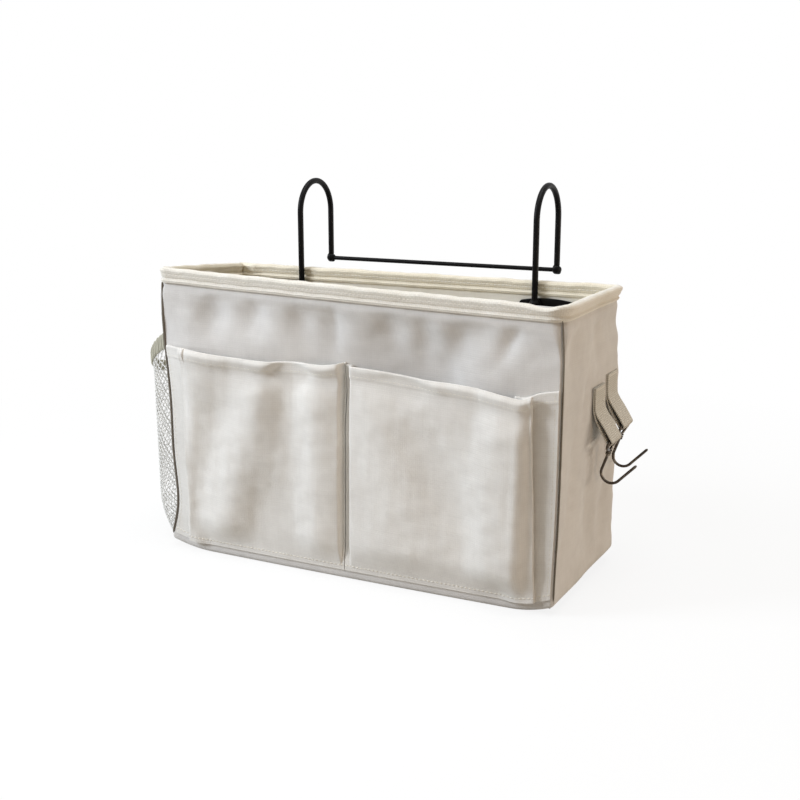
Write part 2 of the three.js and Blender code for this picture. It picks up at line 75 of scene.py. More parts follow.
back_left_lean = 4.7 * MM  # outwards at the rim
front_right_tuck, tuck_height = 2 * MM, 60 * MM  # inwards at the floor
back_right_out, back_right_slip = 2 * MM, 7 * MM  # outwards, and back below the rim
back_right_nip, nip_height, nip_half = 2.6 * MM, 206 * MM, 10 * MM  # inwards under the rim
front_foot_bow, foot_bow_height = 2 * MM, 80 * MM  # forwards at the floor


def ramp(value, low, high):
    """0 at low, 1 at high, and 3t^2 - 2t^3 between them, where t is the share of the way."""
    t = np.clip((value - low) / (high - low), 0, 1)
    return t * t * (3 - 2 * t)


def hump(value, centre, half):
    """exp(-t^2), where t is the distance from the centre in half widths."""
    return np.exp(-((value - centre) / half) ** 2)


def curve_through(places, knots):
    """A smooth curve through given knots: cubic Hermite stretches whose slopes are the mean of the
    neighbouring ones. The knots are (place, value) pairs in rising order, in millimetres."""
    at, value = np.array(knots, float).T * MM
    slope = np.gradient(value, at)
    i = np.clip(np.searchsorted(at, places) - 1, 0, len(at) - 2)
    step = at[i + 1] - at[i]
    t = np.clip((places - at[i]) / step, 0, 1)
    start = value[i] * (1 + 2 * t) * (1 - t) ** 2 + slope[i] * step * t * (1 - t) ** 2
    return start + value[i + 1] * t * t * (3 - 2 * t) + slope[i + 1] * step * t * t * (t - 1)


def settle(points):
    """Moves points of the square bag to where the standing one has them: up with the front left corner, up
    where the base curls at its two ends, and sideways and back where the upright edges bend."""
    x, y, z = np.moveaxis(points, -1, 0)
    left = np.clip((1 - x / half_width) / 2, 0, 1)
    front = np.clip((1 - y / half_depth) / 2, 0, 1)
    height = np.clip(z / rim_top, 0, None)
    to_front, to_back = ramp(-y, 0, half_depth), ramp(y, 0, half_depth)
    right_edge, left_edge = ramp(x, right_edge_from, half_width), ramp(-x, left_edge_from, half_width)
    curl = lambda reach, start: np.clip((reach - start) / (half_width - start), 0, 1) ** 2
    curled = (right_curl - 2 * MM * front) * curl(x, right_curl_from)
    curled = curled + left_curl * front * curl(-x, left_curl_from)
    rise = corner_lift * left ** 1.2 * front * height ** 1.3 + curled * ramp(z, curl_top, 0)
    bow = curve_through(z, front_left_bow) * left_edge * ramp(-y, bow_from, half_depth)
    sideways = bow / (1 + (np.clip(-x - half_width, 0, None) / bow_fade) ** 2)
    sideways = sideways - back_left_lean * left_edge * (1 - front) * height ** 2
    sideways = sideways - front_right_tuck * hump(z, 0, tuck_height) * right_edge * to_front
    nip = back_right_nip * hump(z, nip_height, nip_half)
    sideways = sideways + (back_right_out - nip) * right_edge * to_back
    back = back_right_slip * ramp(z, 186 * MM, 158 * MM) * right_edge * to_back
    back = back - front_foot_bow * (1 - (x / half_width) ** 2) * hump(z, 0, foot_bow_height) * to_front
    return points + np.stack([sideways, back, rise], axis=-1)


def rounded_plan(front_count, side_count, corner_count):
    """Stations round a rounded rectangle, from the front left corner to the right and back to it. Each row
    is a place on the rectangle of the corner centres, from -1 to 1 each way, and an outward direction."""
    along_front, along_side = np.linspace(-1, 1, front_count), np.linspace(-1, 1, side_count)
    turn = np.pi / 2 * np.arange(1, corner_count + 1) / (corner_count + 1)
    rows = []
    for quarter in range(4):
        run = along_side if quarter % 2 else along_front
        angle = quarter * np.pi / 2
        cosine, sine = round(np.cos(angle)), round(np.sin(angle))
        straight = (run * cosine + sine, run * sine - cosine, sine, -cosine)
        bend = (cosine + sine, sine - cosine, np.sin(turn + angle), -np.cos(turn + angle))
        rows += [np.stack(np.broadcast_arrays(*columns), axis=-1) for columns in (straight, bend)]
    rows = np.concatenate(rows)
    return np.concatenate([rows, rows[:1]])


def box_profile(half, edge, foot, wall):
    """Insets and heights of the rows of an open box: from the middle of its base to a folded edge, which is
    a quarter circle, and on up the heights of its wall."""
    base, turn = np.linspace(half, edge, 12)[:-1], np.linspace(0, np.pi / 2, 7)
    inset = np.concatenate([base, edge * (1 - np.sin(turn)), 0 * wall])
    height = np.concatenate([0 * base + foot, foot + edge * (1 - np.cos(turn)), wall])
    return inset[:, None], height[:, None]


def loft(stations, width, depth, corner, height):
    """Rows of rounded rectangles: centre place times the half sizes less the corner, plus the corner's
    radius along the outward direction. The sizes are columns with one value for each row."""
    across, along, out_x, out_y = stations.T
    x = across * (width - corner) + out_x * corner
    y = along * (depth - corner) + out_y * corner
    return np.stack([x, y, np.broadcast_to(height, x.shape)], axis=-1)


def dents(along, up, marks, creased=False):
    """Sum of soft folds, each depth * exp(-(s / half_along)^2 - (t / half_up)^2), where t is the height
    above the fold's middle and s the distance from its leaning middle line. A creased one is
    exp(-|s| / half_along) to the right of that line and twice as wide to its left. A mark is the fold's
    place, height, half_along, half_up, lean and depth, with its lengths in millimetres."""
    total = np.zeros(np.broadcast(along, up).shape)
    for at, level, half_along, half_up, lean, depth in np.array(marks, float):
        t = up - level * MM
        s = along - at * MM - lean * t
        fold = hump(s, 0, half_along * MM)
        if creased:
            fold = np.where(s > 0, np.exp(-abs(s) / (half_along * MM)), hump(s, 0, 2 * half_along * MM))
        total += depth * MM * fold * hump(t, 0, half_up * MM)
    return total


def ripple(points, size, depth, seed):
    """Gentle unevenness: twice the depth times the mean of twelve sine waves of about that size, in drawn
    directions."""
    draw = np.random.default_rng(seed)
    waves = draw.normal(size=(12, 3))
    waves *= 2 * np.pi / size * draw.uniform(0.6, 1.5, (12, 1)) / np.linalg.norm(waves, axis=1, keepdims=True)
    return depth * np.sin(points @ waves.T + draw.uniform(0, 2 * np.pi, 12)).mean(axis=-1) * 2


def path_length(points):
    """Distance along a row of points from its first one."""
    steps = np.linalg.norm(np.diff(points, axis=0), axis=-1)
    return np.concatenate([[0], np.cumsum(steps)])


def cloth_map(across, up):
    """The flat cloth's distances across and up, for a grid whose rows go up."""
    return np.stack(np.broadcast_arrays(across[None, :], up[:, None]), axis=-1)


def grid_faces(rows, columns):
    """Corner numbers of the quads between neighbouring rows and columns of a grid of points."""
    i, j = np.meshgrid(np.arange(rows - 1), np.arange(columns - 1), indexing="ij")
    first = i * columns + j
    return np.stack([first, first + 1, first + columns + 1, first + columns], axis=-1).reshape(-1, 4)


def make_piece(name, points, material, replaced=(), uv=None, faces=None, body="bag", closed=True,
               sharp=50):
    """Puts a grid of points, or points and their faces, into a mesh at the origin, welds what coincides and
    rides it on its body."""
    if faces is None:
        faces = grid_faces(*points.shape[:2])
    mesh = bpy.data.meshes.new(name)
    mesh.from_pydata(points.reshape(-1, 3), [], faces)
    if uv is not None:
        layer = mesh.uv_layers.new(name="cloth")
        layer.data.foreach_set("uv", uv.reshape(-1, 2)[faces.ravel()].ravel())
    build = bmesh.new()
    build.from_mesh(mesh)
    bmesh.ops.remove_doubles(build, verts=build.verts, dist=1e-6)
    if closed:
        bmesh.ops.recalc_face_normals(build, faces=build.faces)
    build.to_mesh(mesh)
    build.free()
    mesh.shade_smooth()
    mesh.set_sharp_from_angle(angle=np.radians(sharp))
    mesh.materials.append(material)
    piece = bpy.data.objects.new(name, mesh)
    bpy.context.scene.collection.objects.link(piece)
    if body:
        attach(piece, body)
    if replaced:
        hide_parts(*replaced)
    return piece


def linear(code):
    """An sRGB hex colour as linear red, green, blue and 1."""
    values = np.array([int(code[i:i + 2], 16) for i in (0, 2, 4)]) / 255
    values = np.where(values <= 0.04045, values / 12.92, ((values + 0.055) / 1.055) ** 2.4)
    return (*values, 1)


def plug(material, socket, value):
    """Links a socket to another node's output, or sets it to a value."""
    if isinstance(value, bpy.types.NodeSocket):
        material.node_tree.links.new(value, socket)
    else:
        socket.default_value = value


def add_node(material, kind, inputs=None, output=0, **settings):
    """Adds a shader node with its settings, plugs its named or numbered inputs and gives one of its
    outputs."""
    node = material.node_tree.nodes.new("ShaderNode" + kind)
    for key, value in settings.items():
        setattr(node, key, value)
    for socket, value in (inputs or {}).items():
        plug(material, node.inputs[socket], value)
    return node.outputs[output]


def new_material(name):
    """A material that has a Principled shader."""
    material = bpy.data.materials.new(name)
    material.use_nodes = True
    return material


def set_shader(material, **sockets):
    """Plugs the named sockets of a material's Principled shader."""
    shader = material.node_tree.nodes["Principled BSDF"]
    for socket, value in sockets.items():
        plug(material, shader.inputs[socket.replace("_", " ")], value)
    return material


def woven_cotton(name, light, shade, thread=1.5 * MM, weave_depth=0.12 * MM, contrast=0.18):
    """Plain-weave cotton: crossing threads that go over and under, uneven slubby yarn that gives fine
    streaks, and faint cloudy and blotchy toning. Real threads are 0.7 mm apart and are drawn coarser, so
    that they show."""
    material = new_material(name)
    place = add_node(material, "UVMap", uv_map="cloth")
    part = add_node(material, "SeparateXYZ", {0: place}).node.outputs
    waves = []
    for axis in (0, 1):
        turn = add_node(material, "Math", {0: part[axis], 1: np.pi / thread}, operation="MULTIPLY")
        waves.append(add_node(material, "Math", {0: turn}, operation="SINE"))
    ridges = [add_node(material, "Math", {0: wave}, operation="ABSOLUTE") for wave in waves]
    cross = add_node(material, "Math", {0: waves[0], 1: waves[1]}, operation="MULTIPLY")
    over = add_node(material, "Math", {0: cross, 1: 0.0}, operation="GREATER_THAN")
    weave = add_node(material, "Mix", {0: over, 2: ridges[0], 3: ridges[1]})
    slubs = []
    for stretch in ((1 / (1.6 * MM), 1 / (50 * MM), 1), (1 / (60 * MM), 1 / (1.8 * MM), 1)):
        spread = add_node(material, "Mapping", {"Vector": place, "Scale": stretch})
        slubs.append(add_node(material, "TexNoise", {"Vector": spread, "Scale": 1.0, "Detail": 2.0}))
    slub = add_node(material, "Math", {0: slubs[0], 1: slubs[1]}, operation="MULTIPLY")
    home = add_node(material, "TexCoord", output="Object")
    cloud = add_node(material, "TexNoise", {"Vector": home, "Scale": 1 / (45 * MM), "Detail": 3.0})
    blotch = add_node(material, "TexNoise", {"Vector": home, "Scale": 1 / (9 * MM), "Detail": 4.0})
    # Map Range takes a value, its low and high ends, and what they become.
    tone = add_node(material, "MapRange", {0: weave, 1: 0.0, 2: 1.0, 3: contrast, 4: 0.0})
    for source, low, high, at_low, at_high in (
            (slub, 0.12, 0.42, 0.14, 0.0), (cloud, 0.3, 0.7, 0.0, 0.35), (blotch, 0.35, 0.7, 0.0, 0.2)):
        more = add_node(material, "MapRange", {0: source, 1: low, 2: high, 3: at_low, 4: at_high})
        tone = add_node(material, "Math", {0: tone, 1: more}, operation="ADD", use_clamp=True)
    colour = add_node(material, "Mix", {0: tone, 6: linear(light), 7: linear(shade)}, 2, data_type="RGBA")
    bump = add_node(material, "Bump", {"Height": weave, "Strength": 0.5, "Distance": weave_depth})
    bump = add_node(material, "Bump", {"Height": slub, "Strength": 0.4, "Distance": 0.5 * MM, "Normal": bump})
    return set_shader(material, Base_Color=colour, Normal=bump, Roughness=0.92, Sheen_Weight=0.12,
                      Sheen_Roughness=0.6, Specular_IOR_Level=0.2)


canvas = woven_cotton("off_white_cotton_canvas", "E5E3DF", "CBC8C3")
front_left_loss, back_right_loss, back_left_loss = 0.62, 0.55, 0.75


def corner_share(across, along):
    """Share of the full corner radius: the front right corner is round, and the other three are tighter.
    Between the corners it changes evenly."""
    right, rear = (1 + across) / 2, (1 + along) / 2
    lost = front_left_loss * (1 - right) * (1 - rear)
    return 1 - lost - back_right_loss * right * rear - back_left_loss * (1 - right) * rear


def corner_radius(height):
    """The bag's upright corners are tight low down and open out towards the mouth."""
    return edge_radius + (mouth_radius - edge_radius) * ramp(height, corners_open_from, rim_top)


plan = rounded_plan(front_count=118, side_count=46, corner_count=11)
plan_share = corner_share(plan[:, 0], plan[:, 1])
out_x, out_y = plan[:, 2], plan[:, 3]
right_facing, left_facing, back_facing, front_facing = np.clip([out_x, -out_x, out_y, -out_y], 0, 1)
corner_turn = np.degrees(np.arcsin(np.minimum(abs(out_x), abs(out_y))))  # 0 on the faces, 45 mid-corner
plan_out = np.stack([out_x, out_y, 0 * out_x], axis=-1)


def push_out(points, push):
    """Moves the points of a loft along their stations' outward directions."""
    return points + push[..., None] * plan_out


def loft_map(points, inset, height):
    """Distances round a lofted cloth's middle row and up its rows."""
    return cloth_map(path_length(points[len(points) // 2]), path_length(np.hstack([inset, height])))


front_marks = (
    (-120, 197, 14, 16, 0.15, -5.2), (-82, 199, 13, 15, 0.1, -4.8), (-38, 200, 14, 15, 0, -4.6),
    (38, 202, 15, 16, 0, -5.2), (66, 200, 10, 18, 0, -4.4), (97, 199, 12, 17, 0.2, -5.0),
    (114, 205, 9, 10, 0, -2.4))
front_creases = ((-9, 199, 8, 19, 0, -6.4), (136, 200, 5, 15, 0.5, -4.2))
side_marks = (
    (-40, 198, 12, 22, 0.3, -3.4), (14, 194, 11, 22, -0.3, -3.2), (-34, 96, 11, 50, 0.1, -3.4),
    (6, 62, 12, 44, -0.1, -3.2), (40, 52, 12, 36, 0.15, -3.6), (-8, 150, 8, 30, 0.3, -2.6),
    (-50, 40, 9, 24, 0.4, -3.0))
left_marks = ((-52, 190, 13, 26, 0, 6.0), (20, 190, 26, 26, 0, 1.0))
back_marks = ((-90, 110, 30, 60, 0.1, -1.4), (10, 90, 40, 70, -0.1, -1.6), (95, 120, 28, 60, 0.1, -1.3))
front_lean_out = (  # along the front, outwards
    (-175, 0), (-150, 4.4), (-110, 4.2), (-80, 3.2), (-55, 1.5), (-30, -2), (0, -4.5), (20, -6.5), (45, -9),
    (68, -10.5), (86, -9), (98, -4), (112, -0.5), (150, 1.2), (175, 0))
pucker_foot, pucker_full = 163 * MM, 183 * MM  # the puckers come in above the pockets' mouths
rim_free, rim_calm = 207 * MM, 217 * MM  # folds die away towards the rim's seam
seam_draw, seam_half = 1.0 * MM, 2.5 * MM
shoulder_out, shoulder_height, shoulder_half = 1.1 * MM, 209 * MM, 7 * MM
corner_valley, valley_half = 1.3 * MM, 13  # the second in degrees
pressed_back = 2.4 * MM


def sunk(z):
    """How far the bag's front is pressed back behind the pockets, away from their mouths and bottom seams."""
    return pressed_back * ramp(z, 12 * MM, 30 * MM) * ramp(z, 160 * MM, 145 * MM)


def front_lean(x, z):
    """How far the slack front stands out above the pockets: nothing under the rim, and the curve along the
    front at the pockets' mouths. Behind the pockets it is drawn back to the board."""
    return curve_through(x, front_lean_out) * ramp(z, 214 * MM, 170 * MM) * ramp(z, 115 * MM, 160 * MM)


def shell_folds(points):
    """How far the canvas stands out from the square bag. There are dents on the front above the pockets, on
    the right side and on the back, a swell high on the left side, ripples all over and a narrow valley down
    each upright corner. The rim's seam draws the cloth in, and it comes out to a shoulder below it."""
    x, y, z = np.moveaxis(points, -1, 0)
    puckers = dents(x, z, front_marks) + dents(x, z, front_creases, creased=True)
    on_front = front_facing ** 2 * (puckers * ramp(z, pucker_foot, pucker_full) + front_lean(x, z))
    on_right = right_facing ** 2 * dents(y, z, side_marks)
    on_back = back_facing ** 2 * dents(x, z, back_marks)
    on_left = left_facing ** 2 * dents(y, z, left_marks)
    uneven = ripple(points, 60 * MM, 0.5 * MM, 3) + ripple(points, 17 * MM, 0.3 * MM, 4) - 0.5 * MM
    uneven = uneven + ripple(points, 11 * MM, 0.2 * MM, 9)
    clear = ramp(z, 3 * MM, 30 * MM) * (1 - front_facing * ramp(z, pucker_full, pucker_foot))
    folds = (on_front + on_right + on_back + on_left + uneven * clear) * ramp(z, rim_calm, rim_free)
    drawn_in = seam_draw * np.where(z > rim_seam, 1, hump(z, rim_seam, seam_half))
    drawn_in = drawn_in - shoulder_out * hump(z, shoulder_height, shoulder_half)
    behind_pockets = front_facing * sunk(z) * ramp(abs(x), 173 * MM, 166 * MM)
    valley = corner_valley * hump(corner_turn, 45, valley_half) * ramp(z, 2 * MM, 8 * MM)
    return folds - drawn_in - behind_pockets - np.where(corner_turn > 0, valley, 0)


# The rows are closest under the rim, where the cloth puckers.
wall_height = np.concatenate([
    np.linspace(edge_radius, 198 * MM, 70)[1:], np.linspace(200 * MM, 221 * MM, 27),
    np.linspace(222 * MM, panel_top, 4)])
shell_inset, shell_height = box_profile(half_depth, edge_radius, 0, wall_height)
shell_corner = np.where(
    shell_inset > 0, np.clip(edge_radius - shell_inset, 0, None), corner_radius(shell_height))
shell_points = loft(
    plan, half_width - shell_inset, half_depth - shell_inset, shell_corner * plan_share, shell_height)
shell_points = settle(push_out(shell_points, shell_folds(shell_points)))
bag = make_piece(
    "bag_canvas", shell_points, canvas,
    ["front_panel", "back_panel", "left_panel", "right_panel", "base_panel",
     "base_board", "front_board", "back_board", "left_board", "right_board"],
    loft_map(shell_points, shell_inset, shell_height), closed=False)
bag.modifiers.new("cloth", "SOLIDIFY").thickness = canvas_thickness

# Lining
# A thinner cream cotton bag sewn inside the boards. It is slack, so it ripples, folds upright in the
# corners and leans in where the canvas does.
lining_cotton = woven_cotton("cream_cotton_lining", "F3EFE4", "E0D8C6", 1.3 * MM)
lining_x, lining_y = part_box("right_lining")[0].x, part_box("back_lining")[0].y
lining_foot, lining_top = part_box("base_lining")[1].z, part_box("back_lining")[1].z
lining_edge, lining_thickness = 6 * MM, 0.6 * MM
lining_marks = ((-60, 120, 20, 60, 0.1, -2), (70, 140, 25, 50, -0.1, -2))
lining_ripple, front_room = 1.6 * MM, 6.4 * MM
corner_fold, corner_fold_half = 3 * MM, 12  # the second in degrees
lining_wall = np.linspace(lining_foot + lining_edge, lining_top, 70)[1:]
lining_inset, lining_height = box_profile(lining_y, lining_edge, lining_foot, lining_wall)
lining_corner = np.where(
    lining_inset > 0, np.clip(lining_edge - lining_inset, 0, None),
    np.clip(corner_radius(lining_height) - (half_width - lining_x), lining_edge / 3, None))
lining_points = loft(
    plan, lining_x - lining_inset, lining_y - lining_inset, lining_corner * plan_share, lining_height)
along, up = lining_points[..., 0], lining_points[..., 2]
slack = ripple(lining_points, 55 * MM, lining_ripple, 11) - lining_ripple
slack = slack + dents(along, up, lining_marks) * abs(out_y)
slack = slack * ramp(up, lining_foot, 40 * MM) * ramp(up, lining_top, 165 * MM)
slack = slack * np.where(out_y > 0.5, ramp(up, 185 * MM, 140 * MM), 1)
# On the front it follows the canvas where that leans in, and makes room for its puckers above.
lining_lean = np.minimum(front_lean(along, up), 0) - front_room * ramp(up, 165 * MM, 195 * MM)
slack = slack + lining_lean * np.where(out_y < -0.5, 1, 0) * ramp(up, lining_top, 212 * MM)
slack = slack + corner_fold * hump(corner_turn, 45, corner_fold_half) * ramp(up, 120 * MM, 190 * MM)
lining_points = settle(push_out(lining_points, slack))
lining_uv = loft_map(lining_points, lining_inset, lining_height)
lining = make_piece(
    "cotton_lining", lining_points[:, ::-1], lining_cotton,
    ["base_lining", "front_lining", "back_lining", "left_lining", "right_lining"], lining_uv[:, ::-1],
    closed=False)
lining.modifiers.new("cloth", "SOLIDIFY").thickness = lining_thickness

# Rim binding
# A canvas strip folded over the mouth and a thin wire. A seam under the wire draws it in, so it has a
# round top and a lower edge that is turned in and stands proud of the cloth below.
binding_canvas = woven_cotton("cream_canvas_binding", "F5F2EA", "DFD9CA", 1.7 * MM, 0.4 * MM, 0.4)
binding_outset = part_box("rim_binding")[1].x - half_width
binding_inset = half_width - (lining_x - 1.3 * MM)
binding_roll, binding_ply = 0.9 * MM, 1.2 * MM
leg_low, leg_high, top_start = 2 * MM, 9 * MM, 9.4 * MM  # above the strip's foot
binding_leg = (  # height above its foot, off the bag
    (0, 1.4), (1.5, 2.2), (3, 1.1), (3.9, 0.4), (5, 1.2), (6.8, 1.4), (9, 2.0))


def binding_section(count):
    """Closed section of the folded strip as distances outwards and heights: up the outer leg, over a round
    top, down the inner leg, and back up inside it, with rolled lower edges."""
    half = np.linspace(0, np.pi, count)
    rise = np.linspace(leg_low, leg_high, 2 * count)
    leg = curve_through(rise, binding_leg)
    top_foot, top_height = binding_foot + top_start, rim_top - binding_foot - top_start
    outer, inner = leg[-1], binding_inset + 0.6 * MM
    middle, span = (outer - inner) / 2, (outer + inner) / 2
    edge_out, edge_in = curve_through(np.zeros(1), binding_leg)[0], -binding_inset - 0.3 * MM
    low = binding_foot + binding_roll - binding_roll * np.sin(half)
    roll, arch = binding_roll * np.cos(half), np.sin(half) ** 0.8
    loop = np.concatenate([np.stack(run, axis=-1) for run in (
        (edge_out - binding_roll - roll, low),
        (leg, binding_foot + rise),
        (middle + span * np.cos(half), top_foot + top_height * arch),
        ((binding_outset - binding_inset - leg)[::-1], binding_foot + rise[::-1]),
        (edge_in + binding_roll - roll, low),
        (middle - (span - binding_ply) * np.cos(half), top_foot + (top_height - binding_ply) * arch))])
    return np.concatenate([loop, loop[:1]])


def round_mouth(out, height):
    """A line round the mouth at a distance outside the bag's face and a height, settled with the bag."""
    corner = np.clip(mouth_radius * plan_share + out, 0.3 * MM, None)
    return settle(loft(plan, half_width + out, half_depth + out, corner, height))


section = binding_section(9)
strip_share = (section[:, 1:] - binding_foot) / (rim_top - binding_foot)
binding_points = round_mouth(section[:, :1], section[:, 1:])
wave = ripple(binding_points, 22 * MM, 0.45 * MM, 5) + ripple(binding_points, 7 * MM, 0.22 * MM, 6)
binding_points[..., 2] += wave * ramp(binding_points[..., 2], binding_foot, rim_top)
binding_points = push_out(binding_points, 0.6 * wave)
# Its top sags near the front right corner, and on the right side it leans out over its foot.
sag = 2.2 * MM * hump(binding_points[..., 0], 159 * MM, 12 * MM) * front_facing
binding_points[..., 2] -= sag * ramp(strip_share, 0.35, 0.9)
binding_points = push_out(binding_points, 3 * MM * right_facing ** 2 * (strip_share - 0.45))
# Inside the back left corner the strip is tucked into a groove between two small bulges.
tuck_reach = np.hypot(binding_points[..., 0] + half_width, binding_points[..., 1] - half_depth)
tuck = (5 * hump(tuck_reach, 0, 7 * MM) - 3 * hump(tuck_reach, 13 * MM, 5 * MM)) * MM
tuck = tuck * ramp(-section[:, :1], 1 * MM, 2.5 * MM)
binding_points[..., :2] += tuck[..., None] * np.array([-0.7, 0.7])
# Painted shade: the strip's inner leg, which faces into the bag's mouth, is tinted a slightly darker, warmer
# cream.
binding_v = path_length(section)
strip_top = binding_v[np.argmax(section[:, 1])]
strip_place = add_node(binding_canvas, "UVMap", uv_map="cloth")
strip_up = add_node(binding_canvas, "SeparateXYZ", {0: strip_place}, 1)
inner_leg_shade = add_node(binding_canvas, "MapRange", {
    0: strip_up, 1: strip_top + 1 * MM, 2: strip_top + 3 * MM, 3: 0.0, 4: 1.0})
strip_colour = binding_canvas.node_tree.nodes["Principled BSDF"].inputs["Base Color"].links[0].from_socket
# The tint multiplies the strip's colour on the inner leg only, as painted shade inside the mouth.
strip_colour_with_shade = add_node(
    binding_canvas, "Mix", {0: inner_leg_shade, 6: strip_colour, 7: linear("FDF9EE")}, 2,
    data_type="RGBA", blend_type="MULTIPLY")
set_shader(binding_canvas, Base_Color=strip_colour_with_shade)
make_piece("rim_binding_strip", binding_points, binding_canvas, ["rim_binding", "rim_wire"],
           cloth_map(path_length(binding_points[0]), binding_v))


def cotton_thread(name):
    """Twisted sewing cotton: pale, matt, and flecked where its plies turn into the shade."""
    material = new_material(name)
    home = add_node(material, "TexCoord", output="Object")
    ply = add_node(material, "TexNoise", {"Vector": home, "Scale": 1 / (0.9 * MM), "Detail": 2.0})
    colour = add_node(
        material, "Mix", {0: ply, 6: linear("F4F1E8"), 7: linear("D8D1BF")}, 2, data_type="RGBA")
    return set_shader(material, Base_Color=colour, Roughness=0.8, Sheen_Weight=0.1)


thread = cotton_thread("cream_cotton_thread")


def at_reach(where, reach, values):
    """Each column of values along a path, read at distances from its start."""
    return np.stack([np.interp(where, reach, column) for column in values.T], axis=-1)


def stitch_rows(name, rows, pitch=3.4 * MM, length=2.6 * MM, radius=0.33 * MM):
    """Thread stitches, each a stretched ball, one every pitch along each path, lying along it and standing
    half out of the cloth. A row is a path of points and the outward direction at each of them."""
    rings, sides = 5, 7
    rise, turn = np.linspace(0, np.pi, rings)[:, None], np.linspace(0, 2 * np.pi, sides)
    ball = np.stack(np.broadcast_arrays(
        length / 2 * np.cos(rise), 1.2 * radius * np.sin(rise) * np.cos(turn),
        radius * np.sin(rise) * np.sin(turn)), axis=-1)
    balls = []
    for path, outward in rows:
        reach = path_length(path)
        count = max(int(reach[-1] / pitch), 1)
        at = (np.arange(count) + 0.5) * reach[-1] / count
        along = at_reach(at + 0.5 * length, reach, path) - at_reach(at - 0.5 * length, reach, path)
        along /= np.linalg.norm(along, axis=1, keepdims=True)
        out = at_reach(at, reach, outward)
        out -= along * (out * along).sum(axis=1, keepdims=True)
        out /= np.linalg.norm(out, axis=1, keepdims=True)
        turned = np.stack([along, np.cross(along, out), out], axis=1)
        balls.append(at_reach(at, reach, path)[:, None, None] + np.einsum("rsk,nkx->nrsx", ball, turned))
    balls = np.concatenate(balls)
    faces = grid_faces(rings, sides)[None] + (rings * sides * np.arange(len(balls)))[:, None, None]
    make_piece(name, balls, thread, faces=faces.reshape(-1, 4))


stitch_height = 6.6 * MM
stitch_out = curve_through(np.array([stitch_height]), binding_leg)[0]
stitch_rows("rim_stitches", [
    (round_mouth(stitch_out, binding_foot + stitch_height), plan_out),
    (round_mouth(-binding_inset - 0.1 * MM, binding_foot + stitch_height), -plan_out)])

# Edge welts: painted seam shade
# A thin dark taupe cord lies down each of the bag's two front corner seams. Its dark colour is painted shade,
# which draws the shaded seam as a line down each corner.
# Dark taupe cloth for the cords: painted shade of the corner seams.
seam_shade_cotton = woven_cotton("taupe_welt_cotton", "80786C", "5A5349", 1.2 * MM)
welt_proud = 0.3 * MM


def sweep(path, binormal, radius, sides):
    """A round section carried along a path that bends about a fixed direction. The radius may change along
    it, and a first or last radius of nearly nothing closes the end."""
    along = np.gradient(path, axis=0)
    along /= np.linalg.norm(along, axis=1, keepdims=True)
    side = np.cross(np.asarray(binormal, float), along)
    side /= np.linalg.norm(side, axis=1, keepdims=True)
    third = np.cross(along, side)
    turn = np.linspace(0, 2 * np.pi, sides + 1)
    ring = side[:, None] * np.cos(turn)[:, None] + third[:, None] * np.sin(turn)[:, None]
    return path[:, None] + np.broadcast_to(radius, len(path))[:, None, None] * ring


def round_ends(count, end):
    """Shares of the full radius along a piece whose ends are domes of that many points."""
    share = np.ones(count)
    dome = np.sqrt(np.clip(1 - np.linspace(1, 0, end) ** 2, 1e-5, 1))
    share[:end], share[-end:] = dome, dome[::-1]
    return share


welt_height = np.linspace(5 * MM, binding_foot + 2 * MM, 90)
for name, right, welt_radius in (("front_left", -1, 1.1 * MM), ("front_right", 1, 0.7 * MM)):
    bend = corner_radius(welt_height) * corner_share(right, -1)
    reach = bend * np.sqrt(0.5) - bend + welt_proud
    path = settle(np.stack([right * (half_width + reach), -(half_depth + reach), welt_height], axis=-1))
    points = sweep(path, (-1, -right, 0), welt_radius * round_ends(len(path), 4), 10)
    welt_uv = cloth_map(path_length(points[len(points) // 2]), path_length(points.mean(axis=1)))
    make_piece(f"{name}_welt", points, seam_shade_cotton, uv=welt_uv)

# Front pockets
# Two patches of the bag's canvas, each tucked into a pleat at its outer side and sewn down along the
# bottom, the bag's corner and the middle. The mouth has a turned hem, and the empty cloth billows.
pocket_foot, pocket_top = (corner.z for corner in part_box("right_front_pocket"))
pocket_height = pocket_top - pocket_foot
pocket_cut, pocket_edge, hem = 172 * MM, 172.2 * MM, 9 * MM  # height of the flat cloth, outer edge, hem
sewn_off, full_above = 0.9 * MM, 26 * MM
pleat_over, pleat_reach = 3.2 * MM, 18 * MM
hold_half, hold_fade, lean_about = 165 * MM, 45 * MM, 95 * MM
mouth_off, press_below = 2.5 * MM, 36 * MM
least_off, off_ease = 2 * MM, 1.2 * MM


